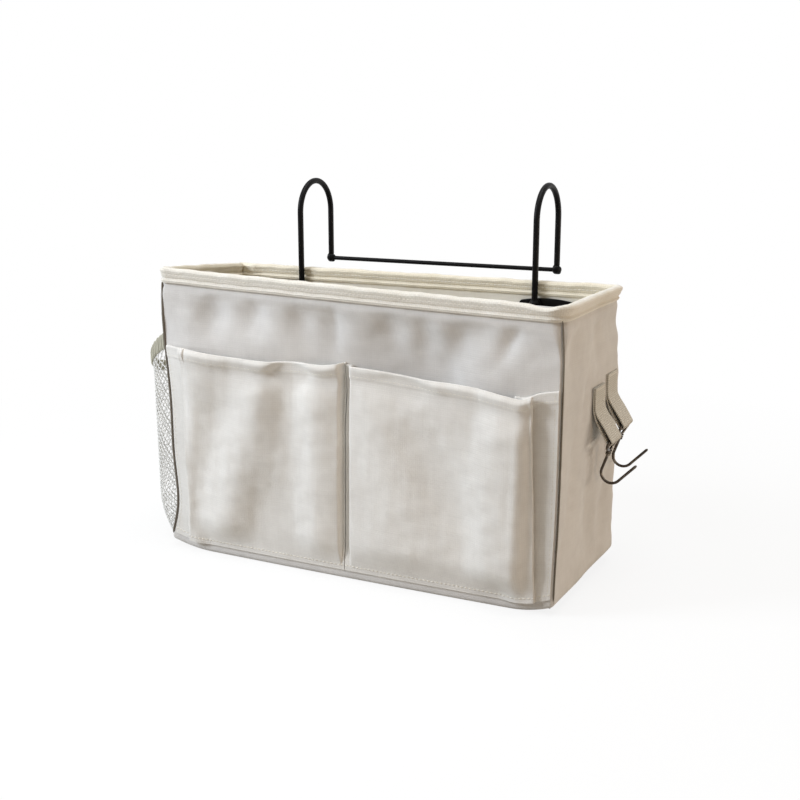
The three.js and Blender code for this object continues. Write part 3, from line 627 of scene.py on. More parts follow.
def pocket_plan(height, face, fold_at, pleat, turn, inner_edge, seam_edge, tuck_off):
    """Plan of the cloth at each height: along the bag's face from its corner, round the tuck, out to the
    fold, across the front with its swell, and down into the middle seam."""
    full = ramp(height, pocket_foot, pocket_foot + full_above)
    share = lambda count: np.linspace(0, 1, count)[None, :]
    arc = np.linspace(-np.pi / 2, np.pi / 2, 10)[None, :]
    rows, back = np.ones_like(height), sewn_off + tuck_off
    seam_off = sewn_off - 0.9 * sunk(height) + front_lean(0 * height, height)
    tuck_at = fold_at - pleat
    front_x = fold_at + (inner_edge - fold_at) * share(120)[:, 1:]
    over_pleat = pleat_over * ramp(front_x, tuck_at - pleat_reach, tuck_at)
    front_off = sewn_off + (face(front_x, height) - sewn_off) * full + over_pleat * (1 - full)
    fold_off, end_off = front_off[:, :1], front_off[:, -1:]
    to_tuck, over, drop = share(22)[:, :-1], share(14)[:, 1:-1], share(12)[:, 1:]
    runs = (
        (pocket_edge + (tuck_at - pocket_edge) * to_tuck,
         sewn_off + (back - sewn_off) * np.sin(np.pi / 2 * to_tuck)),
        (tuck_at - turn * np.cos(arc), back + turn * (1 + np.sin(arc))),
        (tuck_at + (fold_at - tuck_at) * over, back + 2 * turn + (fold_off - 4 * turn - back) * over ** 1.5),
        (fold_at + turn * np.cos(arc), fold_off - turn + turn * np.sin(arc)),
        (front_x, front_off),
        (inner_edge + (seam_edge - inner_edge) * np.sin(drop * np.pi / 2),
         end_off + (seam_off - end_off) * drop ** 2),
        (seam_edge + (0.4 * MM - seam_edge) * share(4)[:, 1:], seam_off))
    runs = [np.broadcast_arrays(x * rows, off * rows) for x, off in runs]
    return [np.concatenate(values, axis=1) for values in zip(*runs)]


def billow(x, z, knots, lean, upright_to, marks, press):
    """How far a pocket's cloth stands off the bag: a curve across it that leans with the height, away from
    its upright edges, pressed in towards the mouth, with its soft folds added, and eased off a least
    distance."""
    hold = np.sqrt(np.sin(np.pi * np.clip(abs(x) / hold_half, 0, 1)))
    hold = hold * ramp(abs(x), upright_to, upright_to + hold_fade)
    crown = curve_through(x - lean * (z - lean_about) * hold, knots)
    crown = crown - press * (crown - mouth_off) * ramp(z, pocket_top - press_below, pocket_top)
    spare = crown + dents(x, z, marks) - least_off
    return least_off + (spare + np.hypot(spare, off_ease)) / 2


def slab(points, half_thickness):
    """A sheet with thickness: the grid of points moved along its normals both ways, with faces on both
    sides and round the border. Gives the points, the faces and the normals."""
    normal = np.cross(np.gradient(points, axis=1), np.gradient(points, axis=0))
    normal /= np.linalg.norm(normal, axis=-1, keepdims=True)
    half = np.broadcast_to(half_thickness, points.shape[:2])[..., None]
    rows, columns = points.shape[:2]
    faces, number = grid_faces(rows, columns), np.arange(rows * columns).reshape(rows, columns)
    border = np.concatenate([number[0], number[1:, -1], number[-1, -2::-1], number[-2::-1, 0]])
    rim = np.stack([border[:-1], border[1:], border[1:] + number.size, border[:-1] + number.size], axis=-1)
    faces = np.concatenate([faces, faces[:, ::-1] + number.size, rim])
    return np.stack([points + normal * half, points - normal * half]), faces, normal


# The pockets' canvas is a lighter copy of the bag's. This is partly because they are double cloth, and partly
# painted light: the pockets catch more light than the shaded front above them.
lighter_pocket_canvas = woven_cotton("off_white_pocket_canvas", "F2F0EA", "D6D2CB")
pocket_rise = np.concatenate([np.linspace(0, 0.92, 72)[:-1], np.linspace(0.92, 1, 19)])[:, None]
level_height = pocket_foot + pocket_rise * pocket_height
below = 1 - pocket_rise
below_mouth = below * pocket_height


def front_pocket(name, side, swell, swell_end, lean, upright_to, marks, press, mouth, fold_at, pleat, turn,
                 inner_edge, seam_edge, tuck_off):
    """One pocket with its stitches: the plan at each height, carried up to the mouth's own height, with
    ripples, a rolled hem and a lip that stands out. Its swell reaches from the middle to the fold."""
    face = lambda x, z: billow(side * x * swell_end / fold_at, z, swell, lean, upright_to, marks, press)
    across, off = pocket_plan(level_height, face, fold_at, pleat, turn, inner_edge, seam_edge, tuck_off)
    top = curve_through(side * across, mouth)
    points = np.stack(
        [side * across, -half_depth - off, pocket_foot + pocket_rise * (top - pocket_foot)], axis=-1)
    uneven = ripple(points, 35 * MM, 0.6 * MM, 21) + ripple(points, 17 * MM, 0.3 * MM, 22)
    loose = ramp(off, 2.5 * MM, 4 * MM)
    rolled = 1.5 * MM * ramp(below_mouth, 3.6 * MM, 0) - 0.5 * MM * hump(below_mouth, 4 * MM, 3 * MM)
    lip = (3 + 1.2 * hump(points[..., 0], -58 * MM, 34 * MM)) * MM * ramp(below_mouth, 15 * MM, 3 * MM)
    points[..., 1] -= uneven * loose * ramp(level_height, pocket_foot, 40 * MM)
    points[..., 1] += (rolled - lip) * loose
    points[..., 1] -= np.maximum(front_lean(points[..., 0], points[..., 2]), 0)
    points = settle(points)
    half = (0.5 + 0.5 * ramp(below_mouth, hem + 0.5 * MM, hem - 0.5 * MM)) * MM
    half[-1] *= 0.6
    both, faces, normal = slab(points, half)
    pocket_u = path_length(points[len(points) // 2])
    uv = cloth_map(pocket_u, pocket_rise[:, 0] * pocket_height)
    pocket = make_piece(
        f"{name}_cloth", both, lighter_pocket_canvas, [name], np.stack([uv, uv]), faces, sharp=70)
    out = normal * -np.sign(normal[:, 100:101, 1:2])
    skin = points + out * half[..., None]
    hem_row = np.argmin(abs(below_mouth - hem + 2 * MM))
    bottom, hemmed = [(skin[row], out[row]) for row in (2, hem_row)]
    upright = [(skin[3:-2, column], out[3:-2, column]) for column in (2, -3)]
    stitch_rows(f"{name}_stitches", [bottom], radius=0.42 * MM)
    stitch_rows(f"{name}_hem_stitches", [hemmed, *upright], radius=0.2 * MM)


# Swells are (place, off the bag), and mouths are (place, height), both along the front.
front_pocket(
    "left_front_pocket", side=-1,
    swell=((-160, 4.6), (-151, 7.4), (-121, 5.6), (-87, 11.4), (-45, 3.6), (-20, 9.2), (-6, 6.4), (-2, 5.2)),
    swell_end=152 * MM, lean=0.36, upright_to=40 * MM, press=0.7,
    marks=((-50, 156, 40, 8, 0, -3.4), (-70, 45, 25, 30, 0.3, -2.4)),
    mouth=((-175, 169.2), (-165, 169.4), (-154, 169.4), (-143, 169.8), (-114, 168.2), (-80, 167.6),
           (-53, 168.4), (-30, 169.6), (-13, 170.2), (0, 172.3)),
    fold_at=152 * MM, pleat=6 * MM, turn=0.6 * MM, inner_edge=4.2 * MM, seam_edge=2.6 * MM,
    tuck_off=1.8 * MM * ramp(level_height, pocket_foot, 50 * MM))
front_pocket(
    "right_front_pocket", side=1,
    swell=((2, 3.4), (8, 4.4), (30, 7.6), (60, 8.0), (90, 7.2), (105, 7.6), (127, 13.3), (140, 14.4),
           (147, 14.0), (151, 11.2), (154, 7.6), (157, 6.4)),
    swell_end=156 * MM, lean=0.1, upright_to=-45 * MM, press=0.6,
    marks=((48, 157, 38, 8, -0.06, -2.2), (78, 98, 24, 60, -0.4, -5.8)),
    mouth=((0, 170.6), (11, 170.8), (30, 170.4), (52, 169.0), (76, 168.0), (97, 167.8), (117, 166.4),
           (135, 164.6), (148, 163.4), (158, 167.4), (175, 170.8)),
    fold_at=(153.7 + 6 * below ** 1.3) * MM, pleat=12 * MM, turn=0.75 * MM, inner_edge=8 * MM,
    seam_edge=5.4 * MM, tuck_off=-0.5 * sunk(level_height))

# Net pocket
# A warp-knitted polyester net on the left side, whose yarns swing from one neighbour to the next, and a
# gathered elastic casing along its mouth that pulls it in.
net_low, net_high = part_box("mesh_pocket_net")
band_low, band_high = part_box("mesh_pocket_elastic")
net_half, net_height = half_depth - 3 * MM, net_high.z - net_low.z
net_bulge, net_fullness, net_belly = 28 * MM, 4, 0.45
full_by, mouth_flare = 0.2, 1 * MM
mouth_rise, mouth_sag = 31 * MM, 19 * MM
net_off, band_off = 1.5 * MM, 2.2 * MM
yarn_radius, yarn_sway = 0.5 * MM, 0.46
yarns, cells, cell_steps, yarn_sides = 56, 44, 6, 5
band_half, gather_depth, gather_pitch = 1.0 * MM, 0.7 * MM, 4.2 * MM


def net_surface(across, height, off):
    """The pocket's swell: out from the side by bulge * sin(turn)^belly * (1 - |across|^fullness), where the
    turn reaches a right angle a fifth of the way up. The mouth flares, and sags between its two ends."""
    rise = np.clip((height - net_low.z) / (band_high.z - net_low.z), 1e-4, 1)
    out = net_bulge * np.sin(np.clip(rise / full_by, 0, 1) * np.pi / 2) ** net_belly
    out = (out + mouth_flare * ramp(rise, 0.85, 0.97)) * (1 - abs(across) ** net_fullness)
    drawn_up = (mouth_rise * abs(across) ** 3 - mouth_sag) * rise ** 2
    return np.stack(
        np.broadcast_arrays(-half_width - off - out, across * net_half, height + drawn_up), axis=-1)


def net_normal(across, height, off):
    """Outward direction of that surface, from small steps along it."""
    step, lift = 1e-3, 2e-5
    before, after = (net_surface(np.clip(across + move, -1, 1), height, off) for move in (-step, step))
    upwards = net_surface(across, height + lift, off) - net_surface(across, height - lift, off)
    normal = np.cross(upwards, after - before)
    return normal / np.linalg.norm(normal, axis=-1, keepdims=True)


def even_across(share, level):
    """The place across the pocket at a share of the distance along its line at a level, and that line's
    length."""
    fine = np.linspace(-1, 1, 600)
    reach = path_length(net_surface(fine, np.full(600, level), net_off))
    return np.interp(share, reach / reach[-1], fine), reach[-1]


def net_yarn(name):
    """Bright filament polyester: smooth white yarn with a slight twist that catches the light."""
    material = new_material(name)
    place = add_node(material, "UVMap", uv_map="cloth")
    twist = add_node(material, "TexWave", {"Vector": place, "Scale": 1 / (6 * MM), "Distortion": 0.0}, 1,
                     bands_direction="DIAGONAL")
    bump = add_node(material, "Bump", {"Height": twist, "Strength": 0.3, "Distance": 0.2 * MM})
    return set_shader(material, Base_Color=linear("E9E8E3"), Normal=bump, Roughness=0.55, Sheen_Weight=0.2)


yarn_height = np.linspace(net_low.z + 0.5 * MM, net_high.z + 1 * MM, cells * cell_steps + 1)
swing = np.cos(np.linspace(0, cells * np.pi, len(yarn_height)))
yarn_number = np.arange(yarns)[:, None]
yarn_share = (yarn_number + 0.5 + (-1.0) ** yarn_number * swing * yarn_sway) / yarns
yarn_across, net_line = even_across(np.clip(yarn_share, 0.002, 0.998), 100 * MM)
yarn_points = settle(net_surface(yarn_across, yarn_height, net_off))
yarn_normal = net_normal(yarn_across, yarn_height, net_off)
yarn_along = np.gradient(yarn_points, axis=1)
yarn_along /= np.linalg.norm(yarn_along, axis=-1, keepdims=True)
yarn_side = np.cross(yarn_along, yarn_normal)
yarn_turn = np.linspace(0, 2 * np.pi, yarn_sides + 1)
yarn_ring = yarn_normal[:, :, None] * np.cos(yarn_turn)[:, None]
yarn_ring = yarn_ring + yarn_side[:, :, None] * np.sin(yarn_turn)[:, None]
yarn_thickness = yarn_radius * round_ends(len(yarn_height), 3)
yarn_mesh = yarn_points[:, :, None] + yarn_thickness[:, None, None] * yarn_ring
yarn_grid = grid_faces(len(yarn_height), len(yarn_turn))
yarn_faces = yarn_grid[None] + len(yarn_height) * len(yarn_turn) * yarn_number[:, None]
yarn_uv = np.tile(cloth_map(yarn_turn * yarn_radius, yarn_height), (yarns, 1, 1, 1))
net = make_piece("net_pocket_net", yarn_mesh, net_yarn("white_polyester_net"), ["mesh_pocket_net"],
                 yarn_uv, yarn_faces.reshape(-1, 4))


def elastic_casing(name):
    """Woven cotton casing over rubber: fine upright ribs in a pale olive grey."""
    material = new_material(name)
    place = add_node(material, "UVMap", uv_map="cloth")
    rib = add_node(material, "TexWave", {
        "Vector": place, "Scale": 0.314 / (1.4 * MM), "Distortion": 0.6, "Detail": 1.0}, 1)
    colour = add_node(
        material, "Mix", {0: rib, 6: linear("938F7B"), 7: linear("C6C3B1")}, 2, data_type="RGBA")
    bump = add_node(material, "Bump", {"Height": rib, "Strength": 0.5, "Distance": 0.4 * MM})
    return set_shader(material, Base_Color=colour, Normal=bump, Roughness=0.85, Sheen_Weight=0.1)


band_share = np.linspace(0, 1, 300)
band_height = np.linspace(band_low.z - 0.5 * MM, band_high.z + 0.5 * MM, 12)[:, None]
band_across, band_line = even_across(band_share, 150 * MM)
gather_turn = band_share * band_line / gather_pitch * 2 * np.pi + 2 * np.sin(band_share * 40)
gather = gather_depth * np.sin(gather_turn) * np.sin(band_share * np.pi) ** 0.3
band_points = net_surface(band_across[None, :], band_height, band_off)
band_normal = net_normal(band_across[None, :], band_height, band_off)
band_points = settle(band_points + gather[None, :, None] * band_normal)
band_edge = np.sqrt(1 - np.linspace(-0.97, 0.97, 12)[:, None] ** 6)
band_both, band_faces, _ = slab(band_points, band_half * band_edge)
band_uv = cloth_map(band_share * band_line, band_height[:, 0])
make_piece("net_pocket_elastic", band_both, elastic_casing("ribbed_elastic_casing"),
           ["mesh_pocket_elastic"], np.stack([band_uv, band_uv]), band_faces)

# Tape loops
# Two short lengths of beige grey cotton webbing on the right side. Each is doubled over a wire hook's
# eye, and its two ends are sewn one on the other to the bag.
joints = {joint["name"]: joint for joint in frame["joints"]}
tape_thickness, tape_half = 1.1 * MM, 12.5 * MM
ply_off, ply_count = 0.6 * MM, 14
loop_length, loop_belly, bar_clearance = 25 * MM, 1.8 * MM, 2.0 * MM
loop_lean = np.radians(31)


def cotton_webbing(name):
    """Ribbed webbing: cross ribs 1.6 mm apart and paler worn crowns on a beige grey yarn."""
    material = new_material(name)
    place = add_node(material, "UVMap", uv_map="cloth")
    rib = add_node(material, "TexWave", {
        "Vector": place, "Scale": 0.314 / (1.6 * MM), "Distortion": 0.4, "Detail": 2.0}, 1,
        bands_direction="Y")
    fleck = add_node(material, "TexNoise", {"Vector": place, "Scale": 1 / (2 * MM), "Detail": 3.0})
    tone = add_node(material, "Math", {0: rib, 1: fleck}, operation="MULTIPLY")
    colour = add_node(
        material, "Mix", {0: tone, 6: linear("BFBBAF"), 7: linear("E2DFD5")}, 2, data_type="RGBA")
    bump = add_node(material, "Bump", {"Height": rib, "Strength": 0.5, "Distance": 0.4 * MM})
    return set_shader(material, Base_Color=colour, Normal=bump, Roughness=0.88, Sheen_Weight=0.15,
                      Specular_IOR_Level=0.2)


def loop_side(t):
    """One side of the loop, as distance off its middle line and distance down it: a Bezier curve from the
    sewn end, out to the belly and in to the bar."""
    start, end = tape_thickness / 2, bar_clearance
    handle = (8 * loop_belly - start - end) / 6
    off = start * (1 - t) ** 3 + 3 * handle * t * (1 - t) + end * t ** 3
    return np.stack([off, loop_length * t], axis=-1)


webbing = cotton_webbing("beige_grey_cotton_webbing")
down = loop_side(np.linspace(0, 1, 24))
under = np.linspace(np.pi, 0, 14)[1:-1]
bar = np.stack([bar_clearance * np.cos(under), loop_length + bar_clearance * np.sin(under)], axis=-1)
loop = np.concatenate([down * [-1, 1], bar, down[::-1]])
tape_across = np.linspace(-1, 1, 13)
tape_y, selvedge = tape_half * tape_across, 1 - 0.2 * abs(tape_across) ** 8
for place in ("front", "rear"):
    hinge = np.array(joints[f"{place}_loop_swing"]["pos_m"])
    tab_low, tab_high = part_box(f"{place}_loop_tab")
    loop_x = hinge[0] + loop[:, 1] * np.sin(loop_lean) + loop[:, 0] * np.cos(loop_lean)
    loop_z = hinge[2] - loop[:, 1] * np.cos(loop_lean) + loop[:, 0] * np.sin(loop_lean)
    ply = np.linspace(tab_high.z, hinge[2] + 1.5 * MM, ply_count)
    inner_ply, outer_ply = (np.full(ply_count, hinge[0] + off) for off in (-ply_off, ply_off))
    ends = np.stack([np.concatenate([inner_ply, loop_x, outer_ply]),
                     np.concatenate([ply, loop_z, ply[::-1]])], axis=-1)
    soft = ends.copy()
    soft[1:-1] = (ends[:-2] + 2 * ends[1:-1] + ends[2:]) / 4
    at_fold = 0.5 * ramp(abs(ends[1:-1, 1:] - hinge[2]), 10 * MM, 5 * MM)
    for _ in range(24):  # eases the bend where the loop leaves its sewn end
        soft[1:-1] += at_fold * ((soft[:-2] + soft[2:]) / 2 - soft[1:-1])
    points = np.stack(np.broadcast_arrays(
        soft[:, None, 0], hinge[1] + tape_y[None, :], soft[:, None, 1]), axis=-1)
    both, faces, _ = slab(points, tape_thickness / 2 * selvedge[None, :])
    uv = cloth_map(tape_y, path_length(soft))
    tape = make_piece(f"{place}_tape", both, webbing, [f"{place}_loop_tab", f"{place}_loop_tape"],
                      np.stack([uv, uv]), faces, body=None)
    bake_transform(tape)
    face = hinge[0] + ply_off + tape_thickness / 2
    box_y, low, high = tape_half - 2 * MM, tab_low.z + 2.5 * MM, tab_high.z - 2 * MM
    ring = [(face, hinge[1] + y, z) for y, z in ((-box_y, low), (box_y, low), (box_y, high), (-box_y, high))]
    rows = [(np.linspace(start, end, 12), np.tile([1.0, 0, 0], (12, 1)))
            for start, end in zip(ring, ring[1:] + ring[:1])]
    stitch_rows(f"{place}_tape_stitches", rows, 3 * MM, 2.3 * MM, 0.28 * MM)

# Wire hooks
# Bronzed steel wire bent into an eye for the tape, a short shank and an open hook, and twisted where the
# eye closes. They hang from their tapes and lean in under their own weight.
wire_radius, wire_step = 1.1 * MM, 0.8 * MM
eye_half, eye_shoulder, eye_drop, eye_corner = 14.2 * MM, 4 * MM, 10 * MM, 2.5 * MM
shank_end, hook_bend, hook_arm = 26 * MM, 8 * MM, 20 * MM
hook_turn, hook_lean = np.radians(155), np.radians(19.3)
twist_wire, twist_radius, twist_turns, twist_count = 0.75 * MM, 1.5 * MM, 2.5, 60
twist_top, twist_length = -eye_drop + 0.5 * MM, 4.2 * MM


def bronzed_wire(name):
    """Bronzed steel wire: dark brown oxide that is worn to bare grey in small patches."""
    material = new_material(name)
    home = add_node(material, "TexCoord", output="Object")
    wear = add_node(material, "TexNoise", {"Vector": home, "Scale": 1 / (5 * MM), "Detail": 4.0})
    share = add_node(material, "MapRange", {0: wear, 1: 0.5, 2: 0.75, 3: 0.0, 4: 1.0})
    colour = add_node(
        material, "Mix", {0: share, 6: linear("4A423A"), 7: linear("857C6E")}, 2, data_type="RGBA")
    rough = add_node(material, "MapRange", {0: wear, 1: 0.3, 2: 0.7, 3: 0.5, 4: 0.3})
    return set_shader(material, Base_Color=colour, Roughness=rough, Metallic=1.0)


def rounded_line(corners, radius, steps):
    """A line through corner points whose inner corners are quadratic curves that start a radius away."""
    corners = np.array(corners, float)
    t = np.linspace(0, 1, steps)[:, None]
    runs = [corners[:1]]
    for before, here, after in zip(corners[:-2], corners[1:-1], corners[2:]):
        start, end = (here + (way - here) * radius / np.linalg.norm(way - here) for way in (before, after))
        runs.append((1 - t) ** 2 * start + 2 * t * (1 - t) * here + t * t * end)
    return np.concatenate([*runs, corners[-1:]])


def even_path(points, step):
    """The same line with points at even steps."""
    reach = path_length(points)
    return at_reach(np.linspace(0, reach[-1], int(reach[-1] / step) + 2), reach, points)


wire = bronzed_wire("bronzed_steel_wire")
lean_x = np.array([np.cos(hook_lean), 0, -np.sin(hook_lean)])
lean_z = np.array([np.sin(hook_lean), 0, np.cos(hook_lean)])
eye_line = even_path(rounded_line([
    (0, 0, -eye_drop), (0, -eye_half, -eye_shoulder), (0, -eye_half, 0), (0, eye_half, 0),
    (0, eye_half, -eye_shoulder), (0, 0, -eye_drop)], eye_corner, 9), wire_step)
turn = np.pi + np.linspace(0, hook_turn, 28)
bend = np.stack(
    [hook_bend + hook_bend * np.cos(turn), 0 * turn, -shank_end + hook_bend * np.sin(turn)], axis=-1)
tip = bend[-1:] + hook_arm * np.array([[-np.sin(turn[-1]), 0, np.cos(turn[-1])]])
shank = even_path(np.concatenate([[[0, 0, -eye_drop + wire_radius]], bend, tip]), wire_step)
twist_turn = np.linspace(0, twist_turns * 2 * np.pi, twist_count)
twist = np.stack([twist_radius * np.cos(twist_turn), twist_radius * np.sin(twist_turn),
                  twist_top - np.linspace(0, twist_length, twist_count)], axis=-1)
for place in ("front", "rear"):
    pivot = np.array(joints[f"{place}_hook_swing"]["pos_m"])
    hang = lambda line: pivot + line[:, :1] * lean_x + line[:, 1:2] * [0, 1, 0] + line[:, 2:] * lean_z
    runs = (sweep(hang(eye_line), lean_x, wire_radius, 12),
            sweep(hang(shank), (0, 1, 0), wire_radius * round_ends(len(shank), 4), 12),
            sweep(hang(twist), -lean_z, twist_wire * round_ends(twist_count, 4), 8))
    faces, first = [], 0
    for run in runs:
        faces.append(grid_faces(*run.shape[:2]) + first)
        first += run.shape[0] * run.shape[1]
    make_piece(f"{place}_hook", np.concatenate([run.reshape(-1, 3) for run in runs]), wire,
               [f"{place}_wire_hook"], faces=np.concatenate(faces), body=f"{place}_hook", sharp=80)

# Hanger
# Two steel rods bent over the back wall, a crossbar welded behind it and a foot plate welded to each rod
# inside it, all dipped in satin black. Rivets through the wall hold the plates.
rod_radius, rod_step = 2.5 * MM, 1.2 * MM
bead_size, bead_up = np.array([4.1, 3.9, 4.3]) * MM, 0.4 * MM
fillet_size, fillet_out, fillet_down = np.array([5.2, 4.6, 5.0]) * MM, 1.2 * MM, 2 * MM
plate_corner, plate_ease, plate_bow = 2 * MM, 0.5 * MM, 2.6 * MM


def black_coat(name):
    """Satin black dip coat: nearly black, with a fine orange-peel skin that breaks up the highlight."""
    material = new_material(name)
    home = add_node(material, "TexCoord", output="Object")
    peel = add_node(material, "TexNoise", {"Vector": home, "Scale": 1 / (1.6 * MM), "Detail": 3.0})
    rough = add_node(material, "MapRange", {0: peel, 1: 0.3, 2: 0.7, 3: 0.36, 4: 0.52})
    bump = add_node(material, "Bump", {"Height": peel, "Strength": 0.25, "Distance": 0.3 * MM})
    return set_shader(material, Base_Color=linear("060505"), Normal=bump, Roughness=rough,
                      Specular_IOR_Level=0.1)


def node_box(name):
    """Low corner, high corner and middle of a CAD node's box."""
    low, high = (np.array(corner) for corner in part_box(name))
    return low, high, (low + high) / 2


coat = black_coat("satin_black_dip_coat")
bar_low, bar_high, bar_middle = node_box("hanger_crossbar")
bar_radius = (bar_high[2] - bar_low[2]) / 2
bar_line = np.linspace([bar_low[0], *bar_middle[1:]], [bar_high[0], *bar_middle[1:]], 160)
bar_points = sweep(bar_line, (0, 0, 1), bar_radius * round_ends(len(bar_line), 4), 20)
make_piece("crossbar", bar_points, coat, ["hanger_crossbar"])
bead_rise, bead_turn = np.linspace(0, np.pi, 18)[:, None], np.linspace(0, 2 * np.pi, 29)[None, :]
ball = np.stack(np.broadcast_arrays(
    np.cos(bead_rise), np.sin(bead_rise) * np.cos(bead_turn), np.sin(bead_rise) * np.sin(bead_turn)), axis=-1)
lumpy_ball = ball * (1 + 6 * ripple(ball * 4 * MM, 5 * MM, 0.018, 8)[..., None])
for side in ("left", "right"):
    rod_low, rod_high, (rod_x, _, _) = node_box(f"{side}_hanger_rod")
    front_y, rear_y, apex = rod_low[1] + rod_radius, rod_high[1] - rod_radius, rod_high[2] - rod_radius
    over, over_radius = np.linspace(np.pi, 0, 60), (rear_y - front_y) / 2
    arch = np.stack([0 * over + rod_x, (front_y + rear_y) / 2 + over_radius * np.cos(over),
                     apex - over_radius + over_radius * np.sin(over)], axis=-1)
    line = even_path(np.concatenate([
        [[rod_x, front_y, rod_low[2]]], arch, [[rod_x, rear_y, bar_middle[2] + bar_radius]]]), rod_step)
    points = sweep(line, (1, 0, 0), rod_radius * round_ends(len(line), 3), 24)
    make_piece(f"{side}_rod", points, coat, [f"{side}_hanger_rod"])
    # The crossbar's weld is a lumpy bead round the meeting of the two rods.
    bead = np.array([rod_x, rear_y, bar_middle[2] + bead_up]) + lumpy_ball * bead_size
    make_piece(f"{side}_crossbar_bead", bead, coat, [f"{side}_crossbar_weld"])
    # The foot's weld is a fillet that flares from the rod to the plate's top.
    plate_low, plate_high, plate_middle = node_box(f"{side}_foot_plate")
    flare = lumpy_ball * fillet_size
    flare[..., 2] *= np.where(flare[..., 2] > 0, 1.5, 1)
    flare[..., :2] *= (1 - 0.42 * ramp(flare[..., 2], 0, 6 * MM))[..., None]
    flare = flare + np.array([rod_x, front_y + fillet_out, plate_high[2] - fillet_down])
    flare[..., 1] = np.minimum(flare[..., 1], plate_high[1] - 0.2 * MM)
    make_piece(f"{side}_foot_fillet", flare, coat, [f"{side}_foot_weld"])
    # The foot plate is punched from 2 mm sheet, with round corners, eased edges and a bowed top.
    plate_half, thickness = (plate_high - plate_low) / 2, plate_high[1] - plate_low[1]
    ease = np.linspace(0, np.pi / 2, 5)
    inset, depth = plate_ease * (1 - np.sin(ease)), plate_ease * (1 - np.cos(ease))
    inset = np.concatenate([[plate_half[2], 3 * MM], inset, inset[::-1], [3 * MM, plate_half[2]]])[:, None]
    depth = np.concatenate([[0, 0], depth, thickness - depth[::-1], [thickness, thickness]])[:, None]
    plate = loft(rounded_plan(24, 12, 7), plate_half[0] - inset, plate_half[2] - inset,
                 np.clip(plate_corner - inset, 0, None), depth)[..., [0, 2, 1]]
    plate = plate + np.array([plate_middle[0], plate_low[1], plate_middle[2]])
    bow = 1 - ((plate[..., 0] - plate_middle[0]) / plate_half[0]) ** 2
    plate[..., 2] += plate_bow * bow * ramp(plate[..., 2], plate_middle[2], plate_high[2])
    make_piece(f"{side}_plate", plate, coat, [f"{side}_foot_plate"], sharp=60)

# Rivets
# Black steel rivets through the plates, the wall and a zinc-plated washer behind it, with a low domed head
# at each end.
rivet_stem, head_height = 2 * MM, 1.2 * MM
washer_play, bevel = 0.3 * MM, 0.2 * MM


def zinc_plate(name):
    """Zinc-plated steel: pale grey metal whose fine crystals make its shine uneven."""
    material = new_material(name)
    home = add_node(material, "TexCoord", output="Object")
    grain = add_node(material, "TexNoise", {"Vector": home, "Scale": 1 / (1.5 * MM), "Detail": 3.0})
    rough = add_node(material, "MapRange", {0: grain, 1: 0.3, 2: 0.7, 3: 0.25, 4: 0.45})
    return set_shader(material, Base_Color=linear("A9A9A6"), Roughness=rough, Metallic=1.0)


def lathe(profile, centre, sides):
    """A profile of (radius, place along y) turned about a line along y through the centre."""
    turn = np.linspace(0, 2 * np.pi, sides + 1)
    radius, along = np.array(profile, float).T
    x = centre[0] + radius[:, None] * np.cos(turn)
    z = centre[2] + radius[:, None] * np.sin(turn)
    return np.stack(np.broadcast_arrays(x, along[:, None], z), axis=-1)


zinc = zinc_plate("zinc_plated_steel")
dome = np.linspace(0, np.pi / 2, 9)
for number in (1, 2, 3, 4):
    rivet_low, rivet_high, centre = node_box(f"plate_rivet_{number}")
    head = (rivet_high[0] - rivet_low[0]) / 2
    profile = [*zip(head * np.sin(dome), rivet_low[1] + head_height * (1 - np.cos(dome))),
               (rivet_stem, rivet_low[1] + head_height), (rivet_stem, rivet_high[1] - head_height),
               *zip(head * np.cos(dome), rivet_high[1] - head_height * (1 - np.sin(dome)))]
    make_piece(f"rivet_{number}", lathe(profile, centre, 28), coat, [f"plate_rivet_{number}"])
    washer_low, washer_high, _ = node_box(f"rivet_washer_{number}")
    outer, bore = (washer_high[0] - washer_low[0]) / 2, rivet_stem + washer_play
    near, far = washer_low[1], washer_high[1]
    profile = [(bore, near), (outer - bevel, near), (outer, near + bevel), (outer, far - bevel),
               (outer - bevel, far), (bore, far), (bore, near)]
    make_piece(f"washer_{number}", lathe(profile, centre, 32), zinc,
               [f"rivet_washer_{number}"], sharp=30)

# Stage
# A pale floor, a soft light from the front left, one overhead and two weak warm ones low on the right, and
# the camera at the photo's angle.
floor_half = 6
floor_mesh = bpy.data.meshes.new("floor")
floor_corners = [(x * floor_half, y * floor_half, 0) for x, y in ((-1, -1), (1, -1), (1, 1), (-1, 1))]
floor_mesh.from_pydata(floor_corners, [], [(0, 1, 2, 3)])
floor = bpy.data.objects.new("floor", floor_mesh)
bpy.context.scene.collection.objects.link(floor)


def seen_rays(material):
    """Two outputs: 1 for rays straight from the camera, and 1 for those and the ones by way of metal or
    glass."""
    rays = add_node(material, "LightPath").node.outputs
    seen = rays["Is Camera Ray"]
    for kind in ("Is Glossy Ray", "Is Transmission Ray"):
        seen = add_node(material, "Math", {0: seen, 1: rays[kind]}, operation="MAXIMUM")
    return rays["Is Camera Ray"], seen


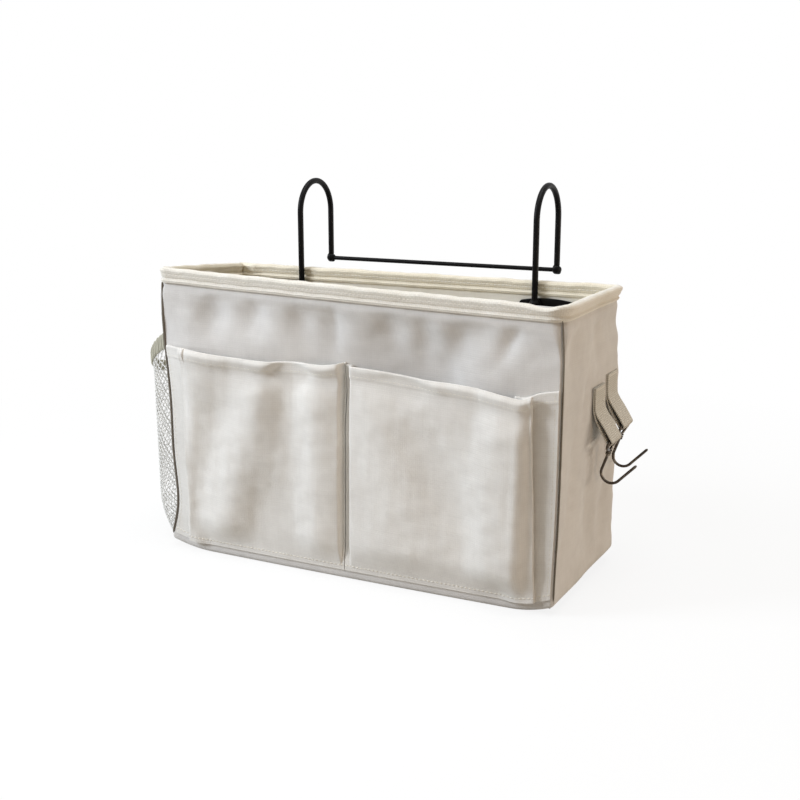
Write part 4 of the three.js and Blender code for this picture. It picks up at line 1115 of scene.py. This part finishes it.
def white_paper(name):
    """Matt paper that is white to the camera, lets the object's shadow show near the middle, and throws a
    pale grey back on the object."""
    material = new_material(name)
    direct, seen = seen_rays(material)
    home = add_node(material, "TexCoord", output="Object")
    spread = add_node(material, "VectorMath", {0: home}, "Value", operation="LENGTH")
    clear = add_node(material, "MapRange", {0: spread, 1: 0.3, 2: 0.75, 3: 0.86, 4: 1.0})
    bounce = add_node(
        material, "Mix", {0: direct, 6: linear("B4B2AD"), 7: linear("F8F8F7")}, 2, data_type="RGBA")
    set_shader(material, Base_Color=bounce, Roughness=1.0, Specular_IOR_Level=0.0)
    glow = add_node(material, "Emission", {"Color": (1, 1, 1, 1), "Strength": 1.0})
    share = add_node(material, "Math", {0: seen, 1: clear}, operation="MULTIPLY")
    nodes = material.node_tree.nodes
    both = add_node(material, "MixShader", {0: share, 1: nodes["Principled BSDF"].outputs[0], 2: glow})
    plug(material, nodes["Material Output"].inputs[0], both)
    return material


floor_mesh.materials.append(white_paper("white_paper"))
world = bpy.data.worlds.new("studio")
bpy.context.scene.world = world
world.use_nodes = True
sky = world.node_tree.nodes["Background"]
sky.inputs[0].default_value = linear("FFF3E4")
sky.inputs[1].default_value = 0.2
white = add_node(world, "Background", {0: (1, 1, 1, 1), 1: 1.0})
mixed = add_node(world, "MixShader", {0: seen_rays(world)[1], 1: sky.outputs[0], 2: white})
plug(world, world.node_tree.nodes["World Output"].inputs[0], mixed)


def soft_light(name, place, target, width, height, power, colour):
    """A rectangular area lamp at a place, turned to a target."""
    data = bpy.data.lights.new(name, "AREA")
    data.shape, data.size, data.size_y = "RECTANGLE", width, height
    data.energy, data.color = power, linear(colour)[:3]
    lamp = bpy.data.objects.new(name, data)
    lamp.location = place
    lamp.rotation_euler = (Vector(target) - Vector(place)).to_track_quat("-Z", "Y").to_euler()
    bpy.context.scene.collection.objects.link(lamp)


soft_light("key", (-1.7, -1.2, 1.2), (0, 0, 0.1), 0.8, 0.8, 46, "EDF4FF")
soft_light("top", (0.1, -0.1, 1.9), (0, 0, 0.1), 1.2, 1.2, 21, "FFFFFF")
soft_light("warm_side", (1.4, 0.85, 0.1), (0.15, 0, 0.12), 0.9, 0.2, 6.8, "FFF0DF")
soft_light("warm_front", (1.5, -0.75, 0.2), (0.1, 0, 0.12), 0.6, 0.4, 2.9, "FFCE96")

camera_data = bpy.data.cameras.new("camera")
camera_data.lens, camera_data.sensor_width = 51.54, 36
camera = bpy.data.objects.new("camera", camera_data)
camera_azimuth, camera_elevation = np.radians(26.22), np.radians(13.214)
camera_target, camera_distance = Vector((15.543 * MM, 0, 133.924 * MM)), 933.17 * MM
camera_back = Vector((np.sin(camera_azimuth) * np.cos(camera_elevation),
                      -np.cos(camera_azimuth) * np.cos(camera_elevation), np.sin(camera_elevation)))
camera.location = camera_target + camera_distance * camera_back
camera.rotation_euler = (-camera_back).to_track_quat("-Z", "Y").to_euler()
bpy.context.scene.collection.objects.link(camera)
bpy.context.scene.camera = camera
bpy.context.scene.view_settings.view_transform = "Standard"
